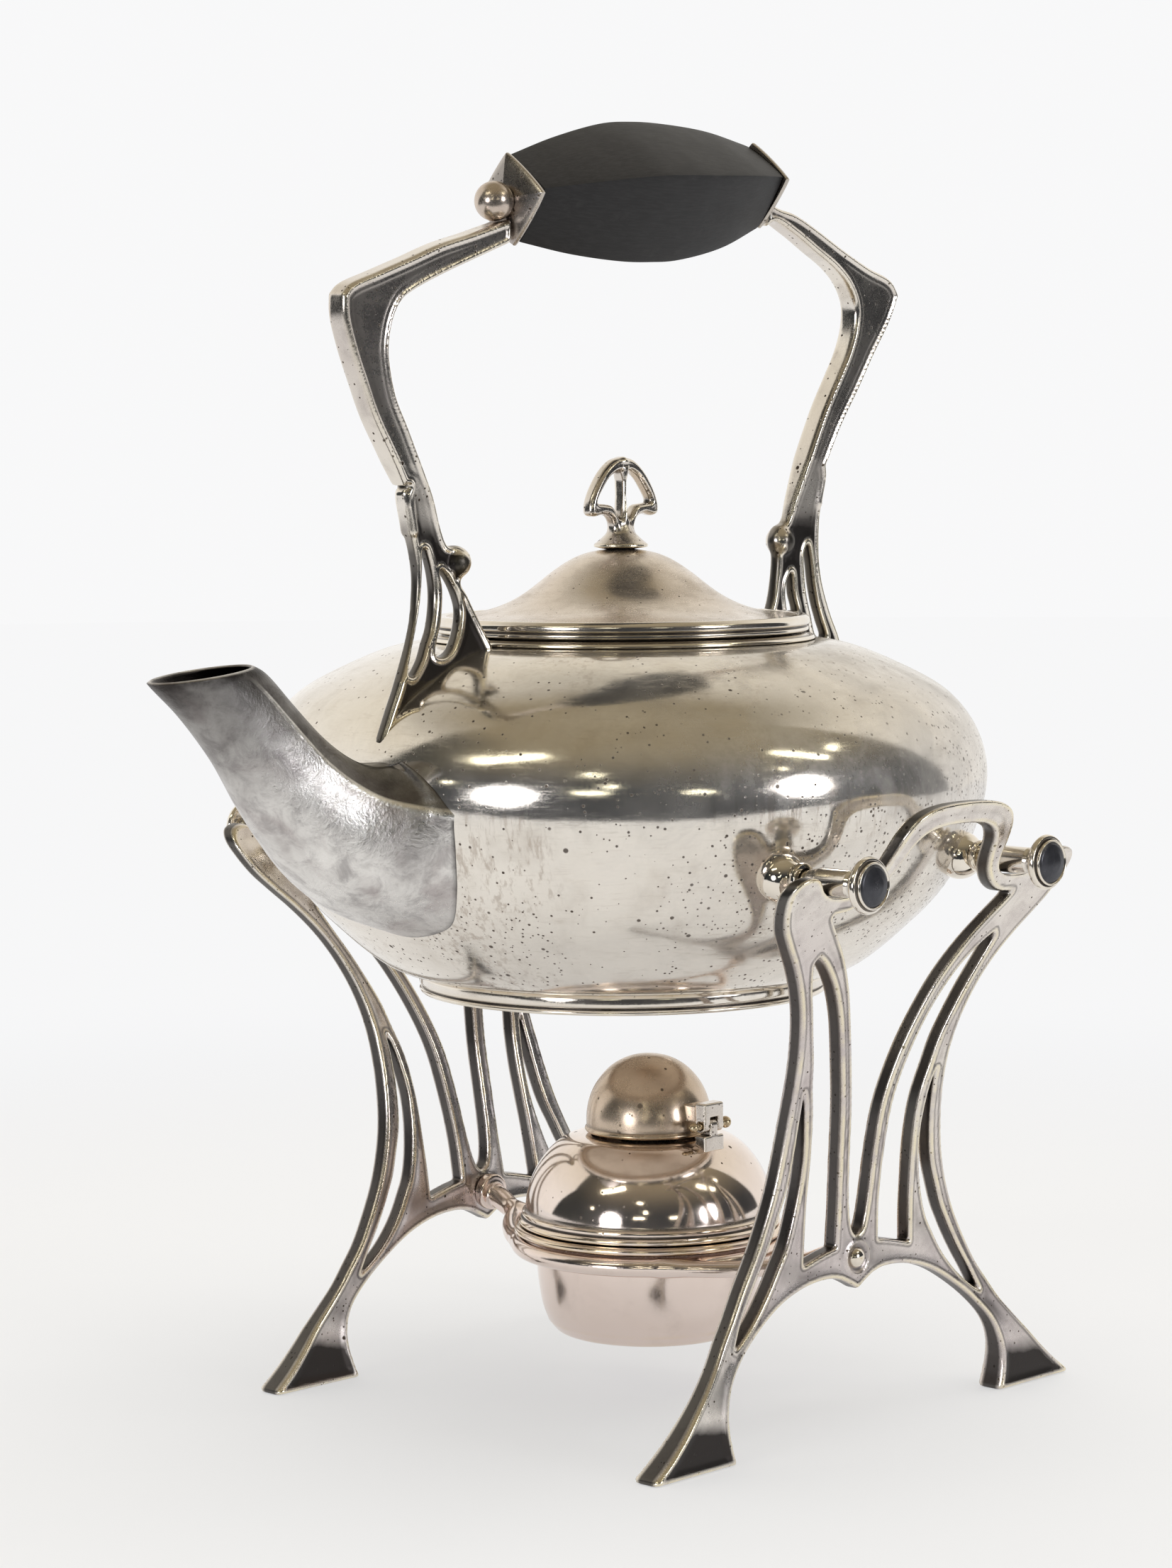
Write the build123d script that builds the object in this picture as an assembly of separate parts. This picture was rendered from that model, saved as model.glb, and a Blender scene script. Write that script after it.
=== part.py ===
from build123d import *
import os
from math import sin, cos, tan, radians, degrees, pi, sqrt, atan2

# Tea kettle on an openwork stand with a spirit burner.
# Millimetres, +Z up.  The model is laid out around the kettle's own axis and
# moved at the end so that the origin is the bottom centre of the whole box.
#   X: spout at -X, plain side at +X
#   Y: the two cast stand frames are mirrored about Y = 0

# ---------------------------------------------------------------- dimensions
SHIFT_X = 26.41           # kettle axis sits this far in front of the box centre

# kettle
KETTLE_R = 93.7           # greatest radius of the body
WALL = 1.2                # sheet of the body, base and lid
FOOT_R = 52.8             # foot ring outer radius
FOOT_Z0, FOOT_Z1 = 106.9, 111.6
NECK_R = 49.6             # neck ring outer radius
NECK_OPEN_R = 42.6        # filling opening
LID_R = 48.5              # rolled lid rim, outer radius
LID_RIM_Z = 201.1         # centre height of the rolled rim
LID_RIM_T = 2.3           # its section radius
LID_TOP_Z = 220.4
FINIAL_TOP_Z = 243.9
FINIAL_T = 4.2

# handle
LEAN = 2.5                # the overhead handle leans this much towards -Y
LEAN_Z = 190.0            # height of the lean axis
ARM_T = 7.0               # depth of the cast arms
GRIP_X0, GRIP_X1 = -43.2, 45.2
GRIP_Z = 311.0            # grip centre height
GRIP_D = 18.2             # half diagonal of the grip at mid length
GRIP_TWIST = -13.0        # the grip stands turned about its own length
ROD_R = 2.0               # tie rod
PLATE_T = 3.2             # ferrule plate

# stand
PIN_Z = 144.2             # trunnion height
PIN_F, PIN_R = -32.5, 35.5    # front and rear trunnions, X
PIN_RAD = 2.3             # front trunnion shank
JOURNAL_R = 3.3           # journal lying in the cups
JOURNAL_Y0, JOURNAL_Y1 = 94.5, 105.5
DISC_R, DISC_Y0, DISC_Y1 = 6.9, 108.6, 111.8
FRAME_T = 5.0             # thickness of the openwork castings
LEAN_S0, LEAN_S1 = 16.1, 0.0803   # centreline of the frames: x = S0 - S1 * z
BOSS_Z = 43.5             # height of the riveted bosses

# burner
BX = 9.5                  # burner axis, X
RING_R, RING_Z = 33.9, 38.7
RING_A = 2.45             # section radius of the ring
SNUFF_R = 16.3
HINGE_Y, HINGE_Z = -21.3, 72.0     # snuffer hinge: pin along X on the near side
HINGE_PIN_R = 1.0
HINGE_W = 3.7             # half width of the hinge blocks

os.makedirs("parts", exist_ok=True)


def xs(z):
    return LEAN_S0 - LEAN_S1 * z


def lin(z, table):
    if z <= table[0][0]:
        return table[0][1]
    for (a, b), (c, d) in zip(table, table[1:]):
        if z <= c:
            return b + (d - b) * (z - a) / (c - a)
    return table[-1][1]


def save(name, shape):
    solids = [q.moved(Location((SHIFT_X, 0, 0))) for q in shape.solids()]
    export_step(Compound(children=solids) if len(solids) > 1 else solids[0], "parts/%s.step" % name)


def face_of(points, smooth=None):
    """Closed face in the XZ plane from (x, z) points, straight edges."""
    pts = [Vector(x, 0, z) for x, z in points]
    return Face(Wire.make_polygon(pts, close=True))


def spline_face(points):
    pts = [Vector(x, 0, z) for x, z in points]
    return Face(Wire([Edge.make_spline(pts, periodic=True)]))


def prism(face, y0, y1):
    s = Solid.extrude(face, Vector(0, y1 - y0, 0))
    return s.moved(Location((0, y0, 0)))


def revolve_profile(points, x=0.0):
    """Solid of revolution about the vertical axis, (r, z) outline closed."""
    pts = [Vector(r, 0, z) for r, z in points]
    f = Face(Wire.make_polygon(pts, close=True))
    s = Solid.revolve(f, 360, Axis.Z)
    return s.moved(Location((x, 0, 0)))


def revolve_mixed(outer, inner, x=0.0):
    """Shell of revolution: smooth outer and inner (r, z) curves, joined by
    straight edges at both ends."""
    o = [Vector(r, 0, z) for r, z in outer]
    i = [Vector(r, 0, z) for r, z in inner]
    e1 = Edge.make_spline(o)
    e2 = Edge.make_spline(i)
    edges = [e1, e2]
    if (o[0] - i[0]).length > 1e-6:
        edges.append(Edge.make_line(o[0], i[0]))
    if (o[-1] - i[-1]).length > 1e-6:
        edges.append(Edge.make_line(o[-1], i[-1]))
    w = Wire.combine(edges)[0]
    s = Solid.revolve(Face(w), 360, Axis.Z)
    return s.moved(Location((x, 0, 0)))


def torus_ellipse(R, z, a, b, x=0.0, n=28):
    f = Face(Wire([Edge.make_spline(
        [Vector(R + a * cos(2 * pi * k / n), 0, z + b * sin(2 * pi * k / n)) for k in range(n)],
        periodic=True)]))
    return Solid.revolve(f, 360, Axis.Z).moved(Location((x, 0, 0)))


def cyl_y(x, z, r, y0, y1):
    return Solid.make_cylinder(r, abs(y1 - y0), Plane(origin=(x, min(y0, y1), z), x_dir=(1, 0, 0), z_dir=(0, 1, 0)))


def cyl_z(x, y, r, z0, z1):
    return Solid.make_cylinder(r, z1 - z0, Plane(origin=(x, y, z0), z_dir=(0, 0, 1)))


def cyl_x(y, z, r, x0, x1):
    return Solid.make_cylinder(r, x1 - x0, Plane(origin=(x0, y, z), z_dir=(1, 0, 0)))


def mirror_y(shape):
    return shape.mirror(Plane.XZ)


def group(*shapes):
    solids = []
    for s in shapes:
        solids += list(s.solids())
    return Compound(children=solids) if len(solids) > 1 else solids[0]


def one(shape):
    ss = sorted(shape.solids(), key=lambda q: -q.volume)
    return ss[0]


# ------------------------------------------------------------- stand frames
# |y| of the middle of the flared casting at height z, and its half depth
FLARE = [(0, 67.2), (5, 67.6), (10, 67.9), (15, 68.0), (20, 67.6), (25, 66.9), (30, 66.4), (35, 66.1),
         (42, 66.2), (50, 66.9), (57, 67.7), (65, 68.9), (73, 70.3), (83, 72.4), (92, 74.9), (101, 77.9),
         (110, 81.4), (117, 84.4), (124, 87.8), (130, 90.9), (136, 94.2), (140, 96.6), (145, 99.9),
         (150, 103.4), (155, 106.6), (160, 109.2), (165, 111.2)]
HALF_T = [(0, 4.3), (5, 4.0), (10, 3.5), (16, 2.9), (24, 2.5), (165, 2.5)]

# outline of one casting, half, as distances from its leaning centreline
ARCH = [(3, 37), (6, 38.5), (10, 39.4), (18.5, 39), (28, 36.3), (36, 32), (45, 25.3), (51, 18.5),
        (53.3, 11), (52.7, 5), (51.3, 0)]
OUTER = [(80.6, 0), (80.2, 1.4), (75, 5.2), (69.5, 10), (64.5, 15), (59.5, 20), (55, 25), (51.3, 30), (47.5, 35),
         (43.2, 42), (38.5, 50), (35.3, 57), (32.5, 65), (30.8, 73), (29.6, 83), (29.3, 92), (30.4, 101),
         (33.2, 110), (36.8, 117), (41.6, 123.5), (46.6, 129), (50.2, 133.3), (52.6, 138.2), (53.5, 142),
         (52.4, 144.8), (49.6, 146.2), (47.0, 146.3), (44.3, 145.0), (42.0, 142.8), (39.2, 141.2),
         (36.0, 140.5), (31.0, 140.5), (27.5, 141.0), (24.5, 142.6), (22.8, 145.0), (22.2, 147.2),
         (21.4, 151.0), (20.3, 155.0), (18.0, 158.2), (14.0, 160.2), (8.0, 161.3), (0, 161.6)]
SLOT = [(47.6, 27.6), (44.5, 33.4), (41.5, 38), (38, 43.5), (35.3, 48), (33, 52), (30.5, 58), (27.8, 65),
        (26.1, 75), (25.5, 85), (25.6, 89.6), (24.4, 86.5), (23.2, 80), (22.5, 72), (23.6, 62), (26.8, 51),
        (29.8, 46), (33.8, 40), (39.2, 34), (44.5, 29.6)]
WINDOW = [(20.4, 44.6), (20.2, 52), (20.0, 60), (19.8, 68), (19.9, 76), (20.8, 84), (22.6, 91), (24.2, 98),
          (26.6, 104.5), (29.2, 111), (32.4, 118), (34.6, 123.6), (33.6, 125.0), (30.2, 122.8), (24.2, 117),
          (19.6, 110.3), (16.9, 105), (13.1, 95), (10.1, 84), (8.7, 71), (8.0, 58), (8.2, 47.3), (13, 46.4)]
VGAP = [(0, 49.4), (1.6, 50.4), (2.7, 53), (3.6, 58), (4.1, 63), (4.7, 71), (6.0, 83), (9.1, 95), (13.2, 106),
        (18.0, 116), (24.0, 124.5), (29.6, 130.5), (33.4, 134.4), (34.2, 135.6), (32.4, 135.9), (29.4, 136.2),
        (26.0, 137.5), (22.4, 139.9), (19.2, 143.4), (17.2, 147.4), (15.8, 151.2), (13.4, 153.8),
        (9.6, 155.3), (5.0, 155.9), (0, 156.1)]


def lean_pts(half, side=1):
    return [(xs(z) + side * x, z) for x, z in half]


def frame_casting():
    right = [(0, 35.3)] + ARCH + OUTER
    pts = lean_pts(right, 1) + lean_pts([p for p in reversed(right[1:-1])], -1)
    blank = prism(face_of(pts), -125, -50)
    cut = []
    for half in (SLOT, WINDOW):
        cut.append(prism(face_of(lean_pts(half, 1)), -126, -49))
        cut.append(prism(face_of(lean_pts(half, -1)), -126, -49))
    v = lean_pts(VGAP, 1) + lean_pts([p for p in reversed(VGAP[1:-1])], -1)
    cut.append(prism(face_of(v), -126, -49))
    cut.append(cyl_y(xs(BOSS_Z), BOSS_Z, 1.6, -126, -49))      # rivet hole through the boss
    blank = blank.cut(*cut)
    zs = [z for z, _ in FLARE]
    outer = [Vector(0, -(lin(z, FLARE) + lin(z, HALF_T)), z) for z in zs]
    inner = [Vector(0, -(lin(z, FLARE) - lin(z, HALF_T)), z) for z in zs]
    e1 = Edge.make_spline(outer)
    e2 = Edge.make_spline(inner)
    w = Wire.combine([e1, e2, Edge.make_line(outer[0], inner[0]), Edge.make_line(outer[-1], inner[-1])])[0]
    slab = Solid.extrude(Face(w), Vector(300, 0, 0)).moved(Location((-140, 0, 0)))
    return one(blank.intersect(slab))


frame_right = frame_casting()
bx_z = xs(BOSS_Z)
frame_left = mirror_y(frame_right)
save("stand_frame_right", frame_right)
save("stand_frame_left", frame_left)

# ------------------------------------------- burner ring with forked arms
ring = Solid.make_torus(RING_R, RING_A, Plane(origin=(BX, 0, RING_Z)))
ARM_Y0 = 63.55            # inner face of the frame at the boss
arm_pts = [(bx_z - 5.2, -ARM_Y0), (bx_z - 3.6, -56.5), (BX - 7.5, -49.5), (BX - 16.0, -42.0), (BX - 24.5, -29.0),
           (BX - 19.0, -26.8), (BX - 12.5, -35.0), (BX - 5.5, -42.5), (BX + 1.0, -46.5), (BX + 6.5, -43.0),
           (BX + 12.5, -36.0), (BX + 19.0, -26.8), (BX + 24.5, -29.0), (BX + 17.0, -41.0),
           (BX + 10.0, -48.5), (bx_z + 4.0, -56.5), (bx_z + 5.2, -ARM_Y0)]
arm_face = Face(Wire.make_polygon([Vector(x, y, RING_Z - 1.9) for x, y in arm_pts], close=True))
arm = Solid.extrude(arm_face, Vector(0, 0, 3.8))
keep = cyl_z(BX, 0, RING_R + 40, 20, 60).cut(cyl_z(BX, 0, RING_R, 19, 61))
arm = one(arm.intersect(keep))
pad = cyl_y(bx_z, BOSS_Z, 5.0, -ARM_Y0, -ARM_Y0 + 3.0)
neck = Solid.make_box(10.0, 7.0, 6.4, Plane(origin=(bx_z - 5.0, -ARM_Y0, RING_Z - 1.9)))
arm = arm.fuse(pad, neck).cut(cyl_y(bx_z, BOSS_Z, 1.55, -70, -50))
arm = one(arm).cut(cyl_y(bx_z, BOSS_Z, 2.6, -(ARM_Y0 - 3.0), -50))     # counterbore for the rivet's tail
arm = one(arm)
ring_all = ring.fuse(arm, mirror_y(arm))
save("burner_ring", one(ring_all))


def rivet(side):
    y_out = lin(BOSS_Z, FLARE) + lin(BOSS_Z, HALF_T)
    shank = cyl_y(bx_z, BOSS_Z, 1.5, -(y_out + 0.6), -(ARM_Y0 - 3.8))
    dome = Solid.make_sphere(3.3, Plane(origin=(bx_z, -(y_out - 1.1), BOSS_Z))).intersect(
        Solid.make_box(10, 10, 10, Plane(origin=(bx_z - 5, -(y_out + 10.35), BOSS_Z - 5))))
    tail = cyl_y(bx_z, BOSS_Z, 2.5, -(ARM_Y0 - 3.0), -(ARM_Y0 - 4.2))
    r = one(shank.fuse(one(dome), tail))
    return r if side < 0 else mirror_y(r)


save("frame_rivets", group(rivet(-1), rivet(1)))

# --------------------------------------------------------------- trunnions
BOSS_BALL_Y = 80.6


def pin(x, shank_r, side):
    body = cyl_y(x, PIN_Z, shank_r, -85.0, -DISC_Y0)
    body = body.fuse(cyl_y(x, PIN_Z, JOURNAL_R, -JOURNAL_Y0, -JOURNAL_Y1))
    disc = Solid.revolve(Face(Wire.make_polygon([
        Vector(0, -DISC_Y0, 0), Vector(DISC_R - 1.0, -DISC_Y0, 0), Vector(DISC_R, -DISC_Y0 - 0.8, 0),
        Vector(DISC_R, -DISC_Y0 - 2.0, 0), Vector(DISC_R - 1.1, -DISC_Y1 + 0.1, 0), Vector(DISC_R - 1.6, -DISC_Y1 + 0.1, 0),
        Vector(DISC_R - 1.7, -DISC_Y1 + 0.9, 0), Vector(0, -DISC_Y1 + 0.9, 0)], close=True)), 360, Axis.Y)
    disc = disc.moved(Location((x, 0, PIN_Z)))
    body = one(body.fuse(disc))
    return body if side < 0 else mirror_y(body)


def inlay(x, side):
    prof = [Vector(0, -DISC_Y1 + 0.9, 0), Vector(DISC_R - 1.75, -DISC_Y1 + 0.9, 0),
            Vector(DISC_R - 1.75, -DISC_Y1 + 0.25, 0), Vector(2.6, -DISC_Y1 - 0.35, 0), Vector(0, -DISC_Y1 - 0.5, 0)]
    s = Solid.revolve(Face(Wire.make_polygon(prof, close=True)), 360, Axis.Y).moved(Location((x, 0, PIN_Z)))
    return s if side < 0 else mirror_y(s)


save("front_trunnion_pins", group(pin(PIN_F, PIN_RAD, -1), pin(PIN_F, PIN_RAD, 1)))
save("front_trunnion_inlays", group(inlay(PIN_F, -1), inlay(PIN_F, 1)))

# -------------------------------------------------------------- kettle body
BODY = [(52.2, 111.9), (56.5, 112.4), (60.6, 114.0), (63.8, 116.1), (66.4, 118.1), (69.0, 120.3), (73.2, 124.2),
        (79.4, 130.2), (84.2, 136.4), (88.2, 143.4), (91.5, 151.4), (93.3, 158.4), (KETTLE_R, 163.2), (93.1, 168.2),
        (91.6, 172.9), (89.6, 176.7), (86.8, 180.5), (83.1, 184.1), (78.5, 187.1), (72.3, 190.2), (64.5, 193.7),
        (58.0, 195.9), (53.2, 196.8), (49.8, 197.0)]


def inset(curve, d):
    out = []
    for k, (r, z) in enumerate(curve):
        a = curve[max(k - 1, 0)]
        b = curve[min(k + 1, len(curve) - 1)]
        tx, tz = b[0] - a[0], b[1] - a[1]
        n = sqrt(tx * tx + tz * tz)
        out.append((r - d * tz / n, z + d * tx / n))
    return out


body_in = inset(BODY, WALL)
# inner curve ends level with the outer one at the foot and at the neck
body_shell = revolve_mixed(BODY, [(r, z) for r, z in body_in])
# the same outline filled solid: whatever is soldered on stops at this surface
fill_edges = [Edge.make_spline([Vector(r, 0, z) for r, z in BODY]),
              Edge.make_line(Vector(BODY[-1][0], 0, BODY[-1][1]), Vector(0, 0, BODY[-1][1])),
              Edge.make_line(Vector(0, 0, BODY[-1][1]), Vector(0, 0, BODY[0][1])),
              Edge.make_line(Vector(0, 0, BODY[0][1]), Vector(BODY[0][0], 0, BODY[0][1]))]
body_fill = Solid.revolve(Face(Wire.combine(fill_edges)[0]), 360, Axis.Z)

base_plate = revolve_profile([(0, 113.6), (47.6, 113.6), (49.4, 112.1), (52.0, 112.1), (52.0, 113.0), (51.4, 113.3), (48.4, 114.8), (0, 114.8)])
base_plate = one(base_plate.cut(body_shell))
save("kettle_base_plate", base_plate)

foot = revolve_profile([(50.6, FOOT_Z1 + 0.3), (FOOT_R - 0.6, FOOT_Z1 + 0.3), (FOOT_R, FOOT_Z1 - 0.6), (FOOT_R, FOOT_Z1 - 2.4),
                        (FOOT_R - 0.7, FOOT_Z0 + 1.0), (FOOT_R - 2.0, FOOT_Z0), (FOOT_R - 3.6, FOOT_Z0 + 0.5),
                        (FOOT_R - 4.0, FOOT_Z0 + 1.6), (FOOT_R - 3.9, FOOT_Z1 + 0.3)])
foot = one(foot.cut(body_shell, base_plate))
save("kettle_foot_ring", foot)

neck = revolve_profile([(NECK_OPEN_R, 195.4), (NECK_OPEN_R, 200.4), (NECK_OPEN_R + 1.2, 200.4), (NECK_OPEN_R + 1.2, 198.5), (48.2, 198.5),
                        (NECK_R - 0.3, 198.2), (NECK_R, 197.6), (NECK_R - 0.1, 197.05), (49.2, 196.9), (49.2, 195.4)])
neck = one(neck.cut(body_shell))
save("kettle_neck_ring", neck)

# ------------------------------------------------------------------- spout
# stations along the spout: centre (x, z), tilt of the section plane from the
# vertical, half height, half width, roundness (0 shield shaped, 1 elliptical)
SPOUT = [(-66.0, 148.2, -2.0, 24.8, 38.0, 0.0),
         (-86.0, 150.95, -8.0, 21.9, 30.3, 0.0),
         (-97.0, 154.6, 18.0, 17.6, 23.0, 0.05),
         (-107.3, 160.65, 42.0, 14.65, 16.8, 0.15),
         (-117.3, 169.5, 54.0, 13.1, 12.8, 0.3),
         (-126.3, 179.85, 56.0, 11.95, 10.6, 0.5),
         (-134.95, 189.15, 70.0, 12.8, 9.4, 0.8),
         (-141.4, 194.4, 84.0, 14.9, 9.0, 1.0)]
# half of the shield: flat sides that widen upwards to a ridge, roof above it
SHIELD = [(0, -1), (0.35, -0.93), (0.58, -0.80), (0.79, -0.47), (0.94, 0.0), (1.0, 0.40), (0.84, 0.68), (0.62, 0.89),
          (0.38, 1.01), (0, 0.99)]


def section(st, grow):
    x, z, tilt, hh, hw, rnd = st
    hh, hw = hh + grow, hw + grow
    t = radians(tilt)
    # section plane holds Y and the direction (sin t, 0, cos t)
    pts = []
    for u, v in SHIELD + [(-u, v) for u, v in reversed(SHIELD[1:-1])]:
        a = atan2(v, u)
        u2, v2 = (1 - rnd) * u + rnd * cos(a), (1 - rnd) * v + rnd * sin(a)
        pts.append(Vector(x + v2 * hh * sin(t), u2 * hw, z + v2 * hh * cos(t)))
    return Wire([Edge.make_spline(pts, periodic=True)])


spout_outer = Solid.make_loft([section(s, 0.0) for s in SPOUT])
# the channel starts inside the body and ends beyond the lip
channel = [(-58.0, 148.2, -2.0, 24.8, 38.0, 0.0)] + SPOUT[1:-1] + [(-142.15, 201.4, 84.0, 14.9, 9.0, 1.0)]
spout_inner = Solid.make_loft([section(s, -1.7) for s in channel])
spout = one(one(spout_outer.cut(spout_inner)).cut(body_fill))
save("kettle_spout", spout)

# openings in the body behind the spout
gate = cyl_x(0, 149.0, 14.0, -100, -70).rotate(Axis((0, 0, 149.0), (1, 0, 0)), 33)
body_shell = one(body_shell.cut(gate))

# trunnion bosses: a ball on a short waisted collar, one at each pin
boss_parts = []
for x, hole_r in ((PIN_F, PIN_RAD + 0.05), (PIN_R, 2.6)):
    for side in (-1, 1):
        ball = Solid.make_sphere(5.6, Plane(origin=(x, -BOSS_BALL_Y, PIN_Z)))
        root = cyl_y(x, PIN_Z, 4.6, -BOSS_BALL_Y, -66.0)
        collar = cyl_y(x, PIN_Z, 3.5, -BOSS_BALL_Y - 7.6, -BOSS_BALL_Y).fuse(cyl_y(x, PIN_Z, 4.1, -BOSS_BALL_Y - 9.6, -BOSS_BALL_Y - 7.6))
        b = ball.fuse(root, collar).cut(body_fill).cut(cyl_y(x, PIN_Z, hole_r, -100, -84.9))
        b = one(b)
        boss_parts.append(b if side < 0 else mirror_y(b))
save("trunnion_bosses", group(*boss_parts))
save("rear_trunnion_pins", group(pin(PIN_R, 2.6, -1), pin(PIN_R, 2.6, 1)))
save("rear_trunnion_inlays", group(inlay(PIN_R, -1), inlay(PIN_R, 1)))
save("kettle_body", body_shell)

# ------------------------------------------------------------------ handle
# drawn upright in the XZ plane, then leaned about the X axis at LEAN_Z
FRONT = [(-101.8, 283.1), (-99.3, 285.4), (-90.3, 288.7), (-80.2, 292.2), (-70.2, 295.8), (-60.2, 298.5), (-50.2, 301.4),
         (-46.4, 302.5), (-46.4, 296.7), (-56.0, 293.2), (-70.2, 288.0), (-79.2, 284.1), (-82.6, 281.9), (-85.2, 277.9), (-86.6, 271.4),
         (-86.0, 266.0), (-83.9, 259.0), (-79.9, 251.9), (-75.4, 243.6), (-70.2, 234.7), (-67.1, 227.5), (-64.0, 222.6),
         (-60.0, 222.4), (-56.6, 219.4), (-56.8, 215.4), (-53.6, 206.8), (-49.6, 199.9), (-46.6, 196.4),
         (-46.4, 192.0), (-60.0, 186.0), (-70.0, 180.0), (-79.0, 171.5), (-85.2, 174.0),
         (-84.4, 178.0), (-82.1, 186.0), (-79.9, 193.7), (-78.0, 199.0), (-76.4, 206.0), (-75.8, 212.6), (-76.9, 221.4),
         (-79.1, 229.0), (-79.9, 234.8), (-77.8, 238.2), (-80.0, 237.2), (-86.0, 246.0), (-91.1, 253.8), (-95.5, 262.7), (-98.9, 270.1), (-101.6, 278.1)]
FRONT_HOLES = [[(-73.8, 225.6), (-72.6, 216.8), (-72.4, 206.0), (-73.6, 197.6), (-75.6, 191.0), (-71.0, 194.0), (-68.2, 200.0), (-68.2, 208.8), (-70.6, 216.8)],
               [(-70.6, 190.2), (-64.6, 195.0), (-59.8, 199.4), (-58.8, 207.0), (-61.6, 213.4), (-64.4, 216.0), (-66.4, 213.0), (-65.6, 206.0), (-66.0, 199.2), (-68.0, 193.8)]]
BALL_F = (-60.2, 218.4, 3.8)
REAR = [(103.4, 287.2), (100.0, 291.0), (90.4, 294.3), (79.3, 298.9), (68.1, 304.0), (59.3, 307.5), (53.2, 308.7), (48.4, 310.4),
        (48.4, 303.6), (51.2, 305.2), (59.3, 302.2), (68.1, 297.8), (77.0, 293.2), (82.4, 288.8), (85.3, 283.8), (85.3, 278.2),
        (83.1, 271.6), (79.3, 265.0), (74.6, 257.1), (70.2, 248.1), (66.9, 240.5), (63.5, 231.7), (61.0, 226.1),
        (58.0, 225.2), (54.4, 222.4), (54.6, 218.0), (53.4, 210.0), (50.0, 203.0), (46.4, 197.6),
        (46.2, 192.0), (60.0, 187.0), (70.0, 181.0), (79.0, 172.5), (85.4, 175.0),
        (84.6, 181.0), (83.2, 190.0), (81.4, 200.0), (78.6, 206.6), (76.2, 213.0), (75.2, 219.0), (75.2, 227.0), (75.8, 234.0),
        (75.2, 241.0), (77.6, 245.4), (81.2, 251.8), (88.0, 261.8), (93.6, 270.6), (100.3, 280.4)]
REAR_HOLES = [[(71.6, 228.0), (71.2, 218.0), (72.4, 210.0), (75.4, 202.4), (77.2, 194.0), (72.6, 196.0), (68.6, 201.0), (66.8, 209.0), (67.4, 218.0)],
              [(70.8, 191.2), (64.8, 195.6), (59.6, 200.0), (58.4, 207.6), (60.8, 215.0), (63.0, 217.6), (64.0, 213.0), (63.4, 207.0), (65.0, 200.0), (68.4, 194.6)]]
BALL_R = (58.2, 221.6, 3.8)


def lean_shape(s):
    return s.rotate(Axis((0, 0, LEAN_Z), (1, 0, 0)), LEAN)


def casting(outline, holes, ball):
    p = prism(face_of(outline), -ARM_T / 2, ARM_T / 2)
    for h in holes:
        p = p.cut(prism(face_of(h), -10, 10))
    p = one(p)
    b = Solid.make_sphere(ball[2], Plane(origin=(ball[0], 0, ball[1])))
    p = one(p.fuse(b))
    return one(lean_shape(p).cut(body_fill, neck_clear))


neck_clear = revolve_profile([(0, 190), (50.3, 190), (50.3, 206), (0, 206)])
casting_front = casting(FRONT, FRONT_HOLES, BALL_F)
casting_rear = casting(REAR, REAR_HOLES, BALL_R)


def diamond_x(cy, cz, half, x0, x1, twist=0.0):
    """Square bar on its edge, along X."""
    c, s = half * cos(radians(twist)), half * sin(radians(twist))
    pts = [Vector(x0, cy - s, cz + c), Vector(x0, cy + c, cz + s), Vector(x0, cy + s, cz - c), Vector(x0, cy - c, cz - s)]
    return Solid.extrude(Face(Wire.make_polygon(pts, close=True)), Vector(x1 - x0, 0, 0))


PLATE_TWIST = -8.0
ferrule_front = diamond_x(0, 307.4, 11.5, GRIP_X0 - PLATE_T, GRIP_X0, PLATE_TWIST)
ferrule_rear = diamond_x(-0.6, 314.4, 11.2, GRIP_X1, GRIP_X1 + PLATE_T, PLATE_TWIST)


def grip_section(x, cz, half, n=16):
    pts = []
    for k in range(n):
        a = 2 * pi * k / n
        p = 1.25
        c, s = cos(a), sin(a)
        cu = (abs(c) ** (2 / p)) * (1 if c >= 0 else -1)
        su = (abs(s) ** (2 / p)) * (1 if s >= 0 else -1)
        w = radians(GRIP_TWIST)
        pts.append(Vector(x, half * (cu * cos(w) - su * sin(w)), cz + half * (cu * sin(w) + su * cos(w))))
    return Wire([Edge.make_spline(pts, periodic=True)])


gx = [GRIP_X0, -26.0, -8.0, 2.0, 12.0, 30.0, GRIP_X1]
gh = [10.8, 14.9, 17.75, GRIP_D, 17.85, 15.3, 10.8]
gz = [307.5, 309.0, 310.5, GRIP_Z, 311.4, 312.7, 314.1]
grip = Solid.make_loft([grip_section(x, z, h) for x, z, h in zip(gx, gz, gh)], ruled=False)
# the tie rod runs from casting to casting on the line between the ferrule centres
ROD_A = (-50.5, 306.6)
ROD_B = (47.9, 313.5)
rod_len = sqrt((ROD_B[0] - ROD_A[0]) ** 2 + (ROD_B[1] - ROD_A[1]) ** 2)
rod_dir = Vector(ROD_B[0] - ROD_A[0], 0, ROD_B[1] - ROD_A[1])
rod = Solid.make_cylinder(ROD_R, rod_len, Plane(origin=(ROD_A[0], 0, ROD_A[1]), z_dir=rod_dir))
bore = Solid.make_cylinder(ROD_R + 0.06, rod_len + 30, Plane(origin=(ROD_A[0] - 15 * rod_dir.normalized().X, 0, ROD_A[1] - 15 * rod_dir.normalized().Z), z_dir=rod_dir))
nut = Solid.make_sphere(4.9, Plane(origin=(-49.9, 0, 306.7)))
nut = one(nut.fuse(Solid.make_cylinder(3.6, 4.0, Plane(origin=(-49.0, 0, 306.72), z_dir=rod_dir))))
nut = one(nut.cut(diamond_x(0, 307.4, 30, GRIP_X0 - PLATE_T, GRIP_X0 + 40)))
nut = one(nut.cut(one(bore.intersect(Solid.make_box(20, 20, 20, Plane(origin=(-50.4, -10, 296)))))))
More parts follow.
